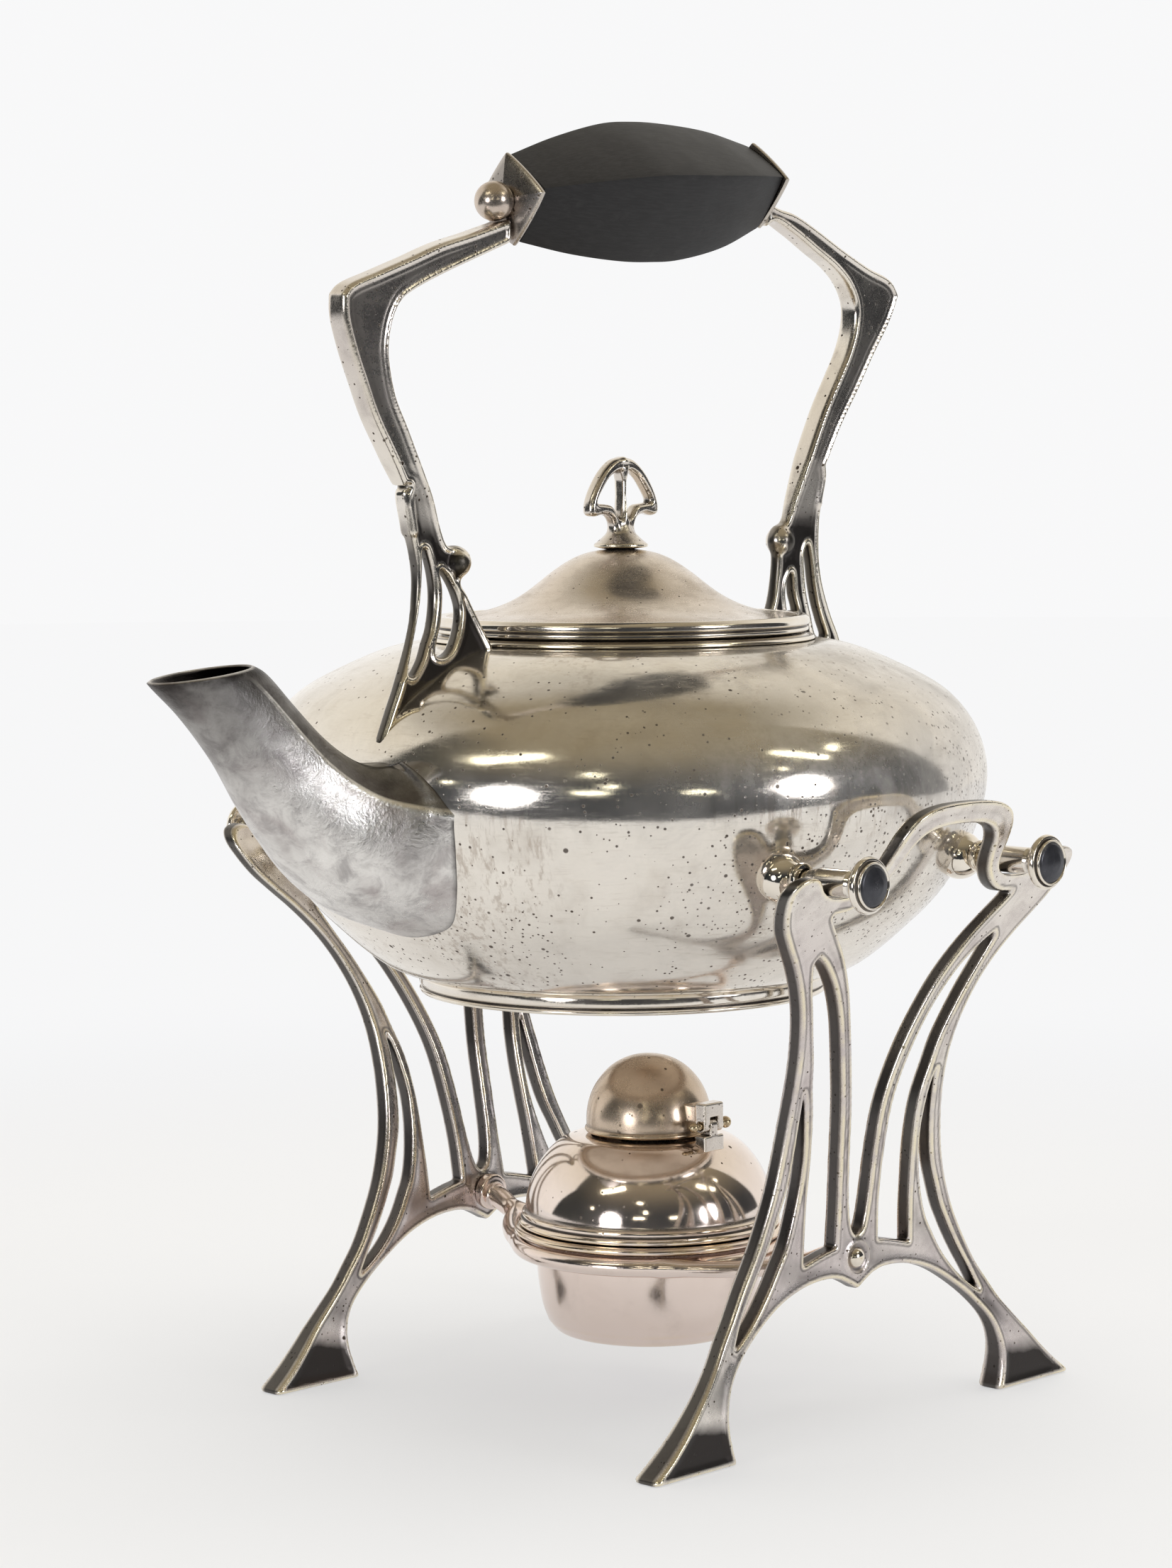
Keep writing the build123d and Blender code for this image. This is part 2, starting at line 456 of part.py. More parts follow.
rod = one(rod.intersect(Solid.make_box(200, 40, 60, Plane(origin=(-50.3, -20, 290)))))
grip = one(grip.cut(bore))
ferrule_front = one(ferrule_front.cut(bore))
ferrule_rear = one(ferrule_rear.cut(bore))
nut_l, rod_l, grip_l = lean_shape(nut), lean_shape(rod), lean_shape(grip)
ff_l, fr_l = lean_shape(ferrule_front), lean_shape(ferrule_rear)
casting_front = one(casting_front.cut(nut_l, ff_l))
casting_rear = one(casting_rear.cut(fr_l, rod_l))
save("handle_casting_front", casting_front)
save("handle_casting_rear", casting_rear)
save("handle_ferrule_front", ff_l)
save("handle_ferrule_rear", fr_l)
save("handle_grip", grip_l)
save("handle_tie_rod", rod_l)
save("handle_ball_nut", nut_l)

# --------------------------------------------------------------------- lid
LID = [(45.4, 203.3), (42.0, 203.5), (37.8, 203.95), (34.0, 204.8), (30.0, 206.2), (26.5, 208.0), (23.0, 210.3), (20.0, 212.8),
       (17.0, 215.1), (14.0, 217.1), (10.4, 218.9), (6.6, 219.9), (2.2, 220.35)]
lid_in = [(r, z - 1.1) for r, z in LID]
lid_shell = revolve_mixed(LID, lid_in)
lid_shell = one(lid_shell)
rim = Solid.make_torus(LID_R - LID_RIM_T, LID_RIM_T, Plane(origin=(0, 0, LID_RIM_Z)))
rim = one(rim.cut(lid_shell))
bezel = revolve_profile([(41.2, 190.5), (42.3, 190.5), (42.3, 204.5), (41.2, 204.5)])
bezel = sorted(bezel.cut(lid_shell).solids(), key=lambda q: q.center().Z)[0]
save("lid_bezel", bezel)
save("lid_shell", lid_shell)
save("lid_rim", rim)

FIN = [(0, 243.9), (3.0, 243.0), (6.0, 240.6), (9.2, 237.0), (11.5, 233.6), (12.5, 231.0), (12.3, 229.3), (10.6, 228.8), (7.4, 229.2),
       (4.9, 228.4), (3.8, 226.6), (3.8, 224.4), (5.0, 222.4), (6.6, 221.2), (6.8, 220.5), (0, 220.5)]
fin_pts = FIN + [(-x, z) for x, z in reversed(FIN[1:-1])]
fin = prism(face_of(fin_pts), -FINIAL_T / 2, FINIAL_T / 2)
WIN = [(1.3, 239.0), (4.6, 237.6), (7.6, 234.6), (9.8, 231.8), (7.6, 231.4), (4.4, 231.0), (2.2, 228.4), (1.3, 228.0)]
fin = fin.cut(prism(face_of(WIN), -5, 5), prism(face_of([(-x, z) for x, z in WIN]), -5, 5))
fin = one(fin)
fin_base = revolve_profile([(0, 217.0), (2.05, 217.0), (2.05, 220.45), (6.9, 220.45), (7.0, 221.2), (5.4, 222.6), (3.6, 224.6), (0, 224.6)])
fin = one(fin.fuse(fin_base))
fin_bore = cyl_z(0, 0, 1.25, 213, 223.0)
save("lid_finial", one(fin.cut(fin_bore)))
nut_in = cyl_z(0, 0, 4.0, 216.6, 219.1).cut(cyl_z(0, 0, 2.1, 216.0, 220))
screw = cyl_z(0, 0, 1.2, 214.8, 222.8).fuse(cyl_z(0, 0, 3.9, 214.6, 216.5))
save("finial_screw", one(screw))

# ------------------------------------------------------------------ burner
bowl_out = [(0, 15.8), (21.5, 15.8), (24.6, 16.6), (26.7, 18.8), (28.0, 22.5), (28.9, 27.5), (29.5, 33.0), (29.7, 38.0),
            (29.7, 41.5), (34.9, 41.5), (35.4, 42.2), (35.4, 43.2), (34.9, 43.9), (28.6, 43.9), (28.6, 38.0),
            (28.4, 33.0), (27.8, 27.5), (26.9, 22.9), (25.7, 19.5), (24.1, 17.7), (21.5, 16.9), (0, 16.9)]
save("burner_bowl", revolve_profile(bowl_out, BX))
dome = revolve_profile([(27.6, 40.5), (28.45, 40.5), (28.45, 44.0), (34.0, 44.0), (34.3, 44.9), (34.0, 46.0), (32.6, 46.6),
                        (32.4, 50.0), (31.0, 55.2), (28.4, 60.2), (25.0, 64.4), (21.6, 66.9), (18.6, 67.5), (10.0, 67.9),
                        (7.15, 67.9), (7.15, 66.8), (18.2, 66.4), (21.0, 65.8), (24.1, 63.5), (27.5, 59.4), (29.9, 54.8),
                        (31.2, 50.0), (31.3, 46.0), (27.6, 45.0)], BX)
save("burner_dome", dome)
wick_tube = revolve_profile([(6.0, 30.0), (7.05, 30.0), (7.05, 67.95), (8.2, 67.95), (8.2, 68.6), (7.0, 73.0), (6.0, 73.0)], BX)
save("burner_wick_tube", wick_tube)
save("burner_wick", revolve_profile([(0, 18.5), (5.9, 18.5), (5.9, 75.0), (4.6, 77.2), (0, 77.8)], BX))

# snuffer: hemispherical cap hinged at the -Y side of the dome
cap_out = [(0, 88.4), (3.4, 88.1), (6.8, 87.0), (9.8, 85.2), (12.4, 82.6), (14.4, 79.6), (15.7, 76.2), (SNUFF_R, 72.6),
           (SNUFF_R, 70.0), (16.7, 69.6), (16.9, 68.9), (16.5, 68.2), (15.2, 68.2), (15.2, 72.4), (14.6, 75.8), (13.4, 79.0),
           (11.5, 81.8), (9.1, 84.2), (6.3, 85.8), (3.2, 86.9), (0, 87.2)]
cap = revolve_profile(cap_out, BX)
# hinge block stands on the dome; the fork of the leaf swings round its middle lug
dome_fill = revolve_profile([(0, 40.0), (34.0, 40.0), (34.3, 44.9), (34.0, 46.0), (32.6, 46.6),
                             (32.4, 50.0), (31.0, 55.2), (28.4, 60.2), (25.0, 64.4), (21.6, 66.9), (18.6, 67.5), (10.0, 67.9),
                             (0, 67.9)], BX)
block = Solid.make_box(2 * HINGE_W, 3.8, 12.0, Plane(origin=(BX - HINGE_W, HINGE_Y - 1.9, HINGE_Z - 14.5)))
block = block.cut(Solid.make_box(20, 2, 2, Plane(origin=(BX - 10, HINGE_Y - 1.9, HINGE_Z - 2.5 - 0.45), x_dir=(1, 0, 0), z_dir=(0, -1, 1))))
lug = Solid.make_box(2.8, 3.8, 3.0, Plane(origin=(BX - 1.4, HINGE_Y - 1.9, HINGE_Z - 3.0))).fuse(cyl_x(HINGE_Y, HINGE_Z, 1.9, BX - 1.4, BX + 1.4))
block = one(one(block).fuse(lug))
block = one(block.cut(dome_fill, cyl_x(HINGE_Y, HINGE_Z, HINGE_PIN_R + 0.05, BX - 10, BX + 10)))
save("snuffer_hinge_block", block)
leaf = Solid.make_box(2 * HINGE_W, 3.8, 6.0, Plane(origin=(BX - HINGE_W, HINGE_Y - 1.9, HINGE_Z)))
leaf = leaf.fuse(cyl_x(HINGE_Y, HINGE_Z, 1.9, BX - HINGE_W, BX + HINGE_W),
                 Solid.make_box(6.0, 6.3, 4.6, Plane(origin=(BX - 3.0, HINGE_Y, HINGE_Z + 0.6))))
leaf = leaf.cut(Solid.make_box(3.0, 5.2, 5.2, Plane(origin=(BX - 1.5, HINGE_Y - 2.9, HINGE_Z - 2.9))))
cap_solid = revolve_profile([(0, 60), (16.95, 60), (16.95, 68.9), (16.75, 69.6), (SNUFF_R, 70.0), (SNUFF_R, 72.6), (15.7, 76.2),
                             (14.4, 79.6), (12.4, 82.6), (0, 88)], BX)
leaf = one(one(leaf).cut(cap_solid))
leaf = one(leaf.cut(cyl_x(HINGE_Y, HINGE_Z, HINGE_PIN_R + 0.05, BX - 10, BX + 10)))
save("snuffer_hinge_leaf", leaf)
save("snuffer_cap", cap)
# pin with a ball head at each end, turned in one piece
pin_out = [(-7.2, 0.0), (-7.1, 0.5), (-6.8, 0.95), (-6.3, 1.27), (-5.8, 1.33), (-5.3, 1.2), (-4.95, HINGE_PIN_R), (4.95, HINGE_PIN_R),
           (5.3, 1.32), (5.9, 1.57), (6.5, 1.57), (7.1, 1.3), (7.5, 0.85), (7.72, 0.4), (7.76, 0.0)]
pin_h = Solid.revolve(Face(Wire.make_polygon([Vector(x, r, 0) for x, r in pin_out], close=True)), 360, Axis.X)
save("snuffer_hinge_pin", pin_h.moved(Location((BX, HINGE_Y, HINGE_Z))))

print("stand top", xs(PIN_Z), "boss x", bx_z)
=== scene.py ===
import bpy
import math
import numpy as np
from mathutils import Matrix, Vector


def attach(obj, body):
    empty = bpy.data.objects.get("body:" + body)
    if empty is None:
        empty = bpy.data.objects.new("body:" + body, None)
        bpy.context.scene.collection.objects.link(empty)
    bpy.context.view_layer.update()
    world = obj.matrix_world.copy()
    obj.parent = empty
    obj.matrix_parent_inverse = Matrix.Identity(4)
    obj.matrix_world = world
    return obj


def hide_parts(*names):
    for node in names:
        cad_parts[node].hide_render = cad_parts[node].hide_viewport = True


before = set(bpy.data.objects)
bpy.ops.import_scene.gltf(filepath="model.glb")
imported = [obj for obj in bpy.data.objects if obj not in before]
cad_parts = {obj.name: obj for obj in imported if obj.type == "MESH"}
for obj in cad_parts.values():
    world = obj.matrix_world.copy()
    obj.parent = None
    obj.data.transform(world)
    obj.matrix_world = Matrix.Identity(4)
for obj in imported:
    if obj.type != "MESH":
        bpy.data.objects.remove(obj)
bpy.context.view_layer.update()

# The kettle's own axis stands 26.41 mm in front of the row origin.  Everything
# below is laid out in millimetres round that axis and moved at the end.
SX = 26.41
MM = 0.001
sin, cos, pi, sqrt = math.sin, math.cos, math.pi, math.sqrt


# ------------------------------------------------------------------- meshes
def new_mesh(name, verts, quads=None, tris=None, attrs=None, sharp=None, leaned=False):
    v = np.asarray(verts, float).copy()
    if leaned:
        v = lean(v)
    v[:, 0] += SX
    v *= MM
    me = bpy.data.meshes.new(name)
    parts, counts = [], []
    if quads is not None and len(quads):
        parts.append(np.asarray(quads, np.int32).ravel())
        counts.append(np.full(len(quads), 4, np.int32))
    if tris is not None and len(tris):
        parts.append(np.asarray(tris, np.int32).ravel())
        counts.append(np.full(len(tris), 3, np.int32))
    loops = np.concatenate(parts)
    counts = np.concatenate(counts)
    starts = np.concatenate([[0], np.cumsum(counts)[:-1]]).astype(np.int32)
    me.vertices.add(len(v))
    me.vertices.foreach_set("co", v.astype(np.float32).ravel())
    me.loops.add(len(loops))
    me.loops.foreach_set("vertex_index", loops)
    me.polygons.add(len(counts))
    me.polygons.foreach_set("loop_start", starts)
    me.update(calc_edges=True)
    me.validate()
    me.polygons.foreach_set("use_smooth", np.ones(len(me.polygons), bool))
    if sharp is not None:
        me.set_sharp_from_angle(angle=math.radians(sharp))
    for key, val in (attrs or {}).items():
        a = me.attributes.new(key, "FLOAT", "POINT")
        a.data.foreach_set("value", np.asarray(val, np.float32))
    me.update()
    o = bpy.data.objects.new(name, me)
    bpy.context.scene.collection.objects.link(o)
    return o


LEAN, LEAN_Z = math.radians(2.5), 190.0


def lean(v):
    y, z = v[:, 1].copy(), v[:, 2] - LEAN_Z
    v[:, 1] = y * cos(LEAN) - z * sin(LEAN)
    v[:, 2] = LEAN_Z + y * sin(LEAN) + z * cos(LEAN)
    return v


def put(o, body, slot, mat, *nodes):
    o.data.materials.clear()
    o.data.materials.append(mat)
    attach(o, body)
    if nodes:
        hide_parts(*nodes)
    return o


def fix_normals(o):
    import bmesh
    bm = bmesh.new()
    bm.from_mesh(o.data)
    bmesh.ops.recalc_face_normals(bm, faces=bm.faces)
    bm.to_mesh(o.data)
    bm.free()


# ----------------------------------------------------------------- 2D curves
def catmull(pts, n=8, closed=False):
    p = np.asarray(pts, float)
    m = len(p)
    out = []
    rng = range(m) if closed else range(m - 1)
    for i in rng:
        if closed:
            a, b, c, d = p[(i - 1) % m], p[i], p[(i + 1) % m], p[(i + 2) % m]
        else:
            b, c = p[i], p[i + 1]
            a = p[i - 1] if i > 0 else 2 * b - c
            d = p[i + 2] if i + 2 < m else 2 * c - b
        t1 = max(np.linalg.norm(b - a), 1e-6) ** 0.5
        t2 = max(np.linalg.norm(c - b), 1e-6) ** 0.5
        t3 = max(np.linalg.norm(d - c), 1e-6) ** 0.5
        m1 = (c - b) / t2 - (c - a) / (t1 + t2) + (b - a) / t1
        m2 = (c - b) / t2 - (d - b) / (t2 + t3) + (d - c) / t3
        m1, m2 = m1 * t2, m2 * t2
        for k in range(n):
            t = k / n
            h1 = 2 * t ** 3 - 3 * t ** 2 + 1
            h2 = t ** 3 - 2 * t ** 2 + t
            h3 = -2 * t ** 3 + 3 * t ** 2
            h4 = t ** 3 - t ** 2
            out.append(h1 * b + h2 * m1 + h3 * c + h4 * m2)
    if not closed:
        out.append(p[-1])
    return np.array(out)


def smooth_curve(pts, sigma, step=0.5):
    """Resamples an open (r, z) curve evenly and smooths it, ends held."""
    p = catmull(pts, 12)
    s = np.concatenate([[0], np.cumsum(np.linalg.norm(np.diff(p, axis=0), axis=1))])
    n = max(int(s[-1] / step), 12)
    q = np.stack([np.interp(np.linspace(0, s[-1], n + 1), s, p[:, k]) for k in (0, 1)], 1)
    it = int(2 * (sigma / step) ** 2)
    for _ in range(it):
        q[1:-1] = (q[:-2] + 2 * q[1:-1] + q[2:]) / 4
    return q


def fillets(corners, closed=True, seg=6):
    """Outline from (r, z, radius) corners: each one rounded to its radius."""
    c = [np.array(p[:2], float) for p in corners]
    rad = [p[2] if len(p) > 2 else 0.0 for p in corners]
    out = []
    n = len(c)
    for i in range(n):
        if (not closed and i in (0, n - 1)) or rad[i] <= 0:
            out.append(c[i])
            continue
        a, b, d = c[i - 1], c[i], c[(i + 1) % n]
        u, v = a - b, d - b
        lu, lv = np.linalg.norm(u), np.linalg.norm(v)
        u, v = u / lu, v / lv
        ang = math.acos(max(-1, min(1, float(u @ v))))
        if ang > pi - 0.02:
            out.append(b)
            continue
        t = min(rad[i] / math.tan(ang / 2), lu * 0.48, lv * 0.48)
        r = t * math.tan(ang / 2)
        w = (u + v) / np.linalg.norm(u + v)
        o = b + w * (r / sin(ang / 2))
        p0, p1 = b + u * t, b + v * t
        a0, a1 = math.atan2(*(p0 - o)[::-1]), math.atan2(*(p1 - o)[::-1])
        da = (a1 - a0 + pi) % (2 * pi) - pi
        k = max(2, int(seg * abs(da) / (pi / 2)) + 1)
        for j in range(k + 1):
            x = a0 + da * j / k
            out.append(o + r * np.array([cos(x), sin(x)]))
    return np.array(out)


def shell(outer, inner):
    """Closed outline from an outer curve and an inner one, both the same way."""
    return np.concatenate([np.asarray(outer), np.asarray(inner)[::-1]])


def inset(curve, d):
    t = np.gradient(curve, axis=0)
    t /= np.linalg.norm(t, axis=1)[:, None] + 1e-12
    return curve + np.stack([-t[:, 1], t[:, 0]], 1) * d


def densify(pts, step):
    out = []
    m = len(pts)
    for i in range(m):
        a, b = pts[i], pts[(i + 1) % m]
        k = max(1, int(np.linalg.norm(b - a) / step))
        for j in range(k):
            out.append(a + (b - a) * j / k)
    return np.array(out)


def shape_marks(pts, closed=True, reach=0.9):
    """How hollow and how sharp an outline is at each point, both 0 to 1."""
    n = len(pts)
    s = np.linalg.norm(np.roll(pts, -1, 0) - pts, axis=1)
    pos = np.concatenate([[0], np.cumsum(s)])
    total = pos[-1]
    per = np.concatenate([pos[:-1] - total, pos[:-1], pos[:-1] + total])
    trip = np.concatenate([pts, pts, pts])
    here = pos[:-1]
    ahead = np.stack([np.interp(here + reach, per, trip[:, k]) for k in (0, 1)], 1)
    back = np.stack([np.interp(here - reach, per, trip[:, k]) for k in (0, 1)], 1)
    mid = (ahead + back) / 2 - pts
    area = 0.5 * np.sum(pts[:, 0] * np.roll(pts[:, 1], -1) - np.roll(pts[:, 0], -1) * pts[:, 1])
    tang = (ahead - back) / (np.linalg.norm(ahead - back, axis=1)[:, None] + 1e-9)
    outn = np.stack([tang[:, 1], -tang[:, 0]], 1) * (1 if area > 0 else -1)
    bend = np.sum(mid * outn, 1) / reach
    return np.clip(bend * 2.4, 0, 1), np.clip(-bend * 2.2, 0, 1)


def turned(name, outline, seg=192, axis="Z", at=(0, 0, 0), side=1, step=0.7, sharp=38, marks=True, leaned=False, extra=None):
    """Solid turned from a closed (r, z) outline.  axis Y: z runs along side * Y."""
    p = densify(np.asarray(outline, float), step)
    keep = np.ones(len(p), bool)
    keep[1:] = np.linalg.norm(np.diff(p, axis=0), axis=1) > 1e-5
    p = p[keep]
    area = 0.5 * np.sum(p[:, 0] * np.roll(p[:, 1], -1) - np.roll(p[:, 0], -1) * p[:, 1])
    if area < 0:
        p = p[::-1]
    dark, edge = shape_marks(p)
    on = p[:, 0] < 1e-6
    a = np.arange(seg) * 2 * pi / seg
    n = len(p)
    verts, index, row = [], np.zeros((n, seg), np.int32), 0
    da, ed, zz = [], [], []
    for i in range(n):
        if on[i]:
            verts.append(np.array([[0, 0, p[i, 1]]]))
            index[i] = row
            row += 1
            da.append([dark[i]])
            ed.append([edge[i]])
        else:
            verts.append(np.stack([p[i, 0] * np.cos(a), p[i, 0] * np.sin(a), np.full(seg, p[i, 1])], 1))
            index[i] = row + np.arange(seg)
            row += seg
            da.append(np.full(seg, dark[i]))
            ed.append(np.full(seg, edge[i]))
    v = np.concatenate(verts)
    quads, tris = [], []
    nxt = (np.arange(seg) + 1) % seg
    for i in range(n):
        j = (i + 1) % n
        if on[i] and on[j]:
            continue
        A, B = index[i], index[j]
        if on[i]:
            tris.append(np.stack([A, B[nxt], B], 1))
        elif on[j]:
            tris.append(np.stack([A, A[nxt], B], 1))
        else:
            quads.append(np.stack([A, A[nxt], B[nxt], B], 1))
    q = np.concatenate(quads) if quads else None
    t = np.concatenate(tris) if tris else None
    if axis == "Y":
        v = np.stack([v[:, 0], side * v[:, 2], v[:, 1] * side], 1)
        if side > 0:
            v[:, 2] = -v[:, 2]
        else:
            v[:, 2] = -v[:, 2]
        # keep the faces pointing outward for either side
        if np.linalg.det(np.array([[1, 0, 0], [0, 0, side], [0, -side, 0]], float)) < 0:
            q = q[:, ::-1] if q is not None else None
            t = t[:, ::-1] if t is not None else None
    v = v + np.array(at, float)
    at_ = {"dark": np.concatenate(da), "edge": np.concatenate(ed)}
    if extra:
        at_.update(extra(v))
    return new_mesh(name, v, q, t, at_, sharp, leaned)


# ------------------------------------------------------------ distance fields
def seg_dist(px, pz, a, b):
    ab = b - a
    t = np.clip(((px - a[0]) * ab[0] + (pz - a[1]) * ab[1]) / (ab @ ab + 1e-12), 0, 1)
    return np.hypot(px - a[0] - t * ab[0], pz - a[1] - t * ab[1])


def inside_poly(px, pz, poly):
    c = np.zeros(px.shape, bool)
    n = len(poly)
    for i in range(n):
        (x0, z0), (x1, z1) = poly[i], poly[(i + 1) % n]
        if z0 == z1:
            continue
        hit = ((z0 > pz) != (z1 > pz)) & (px < (x1 - x0) * (pz - z0) / (z1 - z0) + x0)
        c ^= hit
    return c


def region_depth(gx, gz, outline, holes, band=7.0):
    """Signed depth inside a flat outline with holes, on a grid, in mm."""
    X, Z = np.meshgrid(gx, gz, indexing="ij")
    ins = inside_poly(X, Z, outline)
    for h in holes:
        ins &= ~inside_poly(X, Z, h)
    d = np.full(X.shape, band)
    hx, hz = gx[1] - gx[0], gz[1] - gz[0]
    for loop in [outline] + list(holes):
        m = len(loop)
        for i in range(m):
            a, b = np.asarray(loop[i], float), np.asarray(loop[(i + 1) % m], float)
            i0 = max(int((min(a[0], b[0]) - band - gx[0]) / hx), 0)
            i1 = min(int((max(a[0], b[0]) + band - gx[0]) / hx) + 2, len(gx))
            j0 = max(int((min(a[1], b[1]) - band - gz[0]) / hz), 0)
            j1 = min(int((max(a[1], b[1]) + band - gz[0]) / hz) + 2, len(gz))
            if i1 <= i0 or j1 <= j0:
                continue
            w = (slice(i0, i1), slice(j0, j1))
            d[w] = np.minimum(d[w], seg_dist(X[w], Z[w], a, b))
    return np.where(ins, d, -d)


def bump(t):
    t = np.clip(np.abs(t), 0, 1)
    return (1 - t * t) ** 2


def round_and(a, b, r):
    """Rounded intersection of two distance fields."""
    u, w = np.maximum(a + r, 0), np.maximum(b + r, 0)
    return np.minimum(np.maximum(a + r, b + r), 0) + np.sqrt(u * u + w * w) - r


def soft_or(a, b, k):
    h = np.clip(0.5 + 0.5 * (b - a) / k, 0, 1)
    return b + (a - b) * h - k * h * (1 - h)


def blur(f, times=1):
    for _ in range(times):
        for ax in range(f.ndim):
            g = np.moveaxis(f, ax, 0)
            h = g.copy()
            h[1:-1] = (g[:-2] + 2 * g[1:-1] + g[2:]) / 4
            f = np.moveaxis(h, 0, ax)
    return f


def sample(f, origin, h, v):
    g = (v - origin) / h
    i = np.clip(np.floor(g).astype(int), 0, np.array(f.shape) - 2)
    t = g - i
    out = 0
    for dx in (0, 1):
        for dy in (0, 1):
            for dz in (0, 1):
                w = (t[:, 0] if dx else 1 - t[:, 0]) * (t[:, 1] if dy else 1 - t[:, 1]) * (t[:, 2] if dz else 1 - t[:, 2])
                out = out + w * f[i[:, 0] + dx, i[:, 1] + dy, i[:, 2] + dz]
    return out


CORNERS = np.array([[0, 0, 0], [1, 0, 0], [0, 1, 0], [1, 1, 0], [0, 0, 1], [1, 0, 1], [0, 1, 1], [1, 1, 1]])
EDGES = [(0, 1), (2, 3), (4, 5), (6, 7), (0, 2), (1, 3), (4, 6), (5, 7), (0, 4), (1, 5), (2, 6), (3, 7)]


def nets(f, origin, h):
    """Closed quad surface of the zero level of a grid, negative inside."""
    origin, h = np.asarray(origin, float), np.asarray(h, float) * np.ones(3)
    neg = f < 0
    s = np.zeros(np.array(f.shape) - 1, np.uint8)
    for c in CORNERS:
        s += neg[c[0]:f.shape[0] - 1 + c[0], c[1]:f.shape[1] - 1 + c[1], c[2]:f.shape[2] - 1 + c[2]]
    cells = np.argwhere((s > 0) & (s < 8))
    ids = np.full(s.shape, -1, np.int32)
    ids[cells[:, 0], cells[:, 1], cells[:, 2]] = np.arange(len(cells))
    val = [f[cells[:, 0] + c[0], cells[:, 1] + c[1], cells[:, 2] + c[2]] for c in CORNERS]
    acc, cnt = np.zeros((len(cells), 3)), np.zeros(len(cells))
    for a, b in EDGES:
        va, vb = val[a], val[b]
        m = (va < 0) != (vb < 0)
        t = np.where(m, va / np.where(m, va - vb, 1), 0)
        acc += np.where(m[:, None], CORNERS[a] + t[:, None] * (CORNERS[b] - CORNERS[a]), 0)
        cnt += m
    v = origin + (cells + acc / cnt[:, None]) * h
    quads = []
    for ax in range(3):
        u, w = (ax + 1) % 3, (ax + 2) % 3
        lo = [slice(None)] * 3
        hi = [slice(None)] * 3
        lo[ax], hi[ax] = slice(0, -1), slice(1, None)
        na, nb = neg[tuple(lo)], neg[tuple(hi)]
        for turn, m in ((0, na & ~nb), (1, ~na & nb)):
            e = np.argwhere(m)
            e = e[(e[:, u] > 0) & (e[:, w] > 0) & (e[:, u] < f.shape[u] - 1) & (e[:, w] < f.shape[w] - 1)]
            if not len(e):
                continue
            eu, ew = np.eye(3, dtype=int)[u], np.eye(3, dtype=int)[w]
            c = [e - eu - ew, e - ew, e, e - eu]
            k = np.stack([ids[x[:, 0], x[:, 1], x[:, 2]] for x in c], 1)
            quads.append(k if turn == 0 else k[:, ::-1])
    return v, np.concatenate(quads)


def relax(v, q, times=1, amount=0.5):
    """Evens the mesh without shrinking it much."""
    e = np.concatenate([q[:, [0, 1]], q[:, [1, 2]], q[:, [2, 3]], q[:, [3, 0]]])
    e = np.concatenate([e, e[:, ::-1]])
    deg = np.bincount(e[:, 0], minlength=len(v))[:, None]
    for k in range(times):
        for lam in (amount, -amount * 1.03):
            acc = np.stack([np.bincount(e[:, 0], weights=v[e[:, 1], i], minlength=len(v)) for i in range(3)], 1)
            v = v + lam * (acc / np.maximum(deg, 1) - v)
    return v


def cast(name, f, origin, h, warp=None, marks=None, smooth=2, leaned=False, scale=1.0):
    v, q = nets(f, origin, h)
    v = relax(v, q, smooth, 0.55)
    g = blur(f, 1)
    hh = np.asarray(h, float) * np.ones(3)
    lap = np.zeros_like(g)
    for ax in range(3):
        m = np.moveaxis(g, ax, 0)
        l = np.zeros_like(m)
        l[1:-1] = (m[:-2] + m[2:] - 2 * m[1:-1]) / hh[ax] ** 2
        lap += np.moveaxis(l, 0, ax)
    lap = blur(lap, 1)
    c = sample(lap, np.asarray(origin, float), hh, v)
    at = {"dark": np.clip(-c * 0.55 * scale - 0.03, 0, 1), "edge": np.clip(c * 0.34 * scale - 0.10, 0, 1)}
    if marks is not None:
        at = marks(v, at)
    if warp is not None:
        v = warp(v)
    return v, q, at


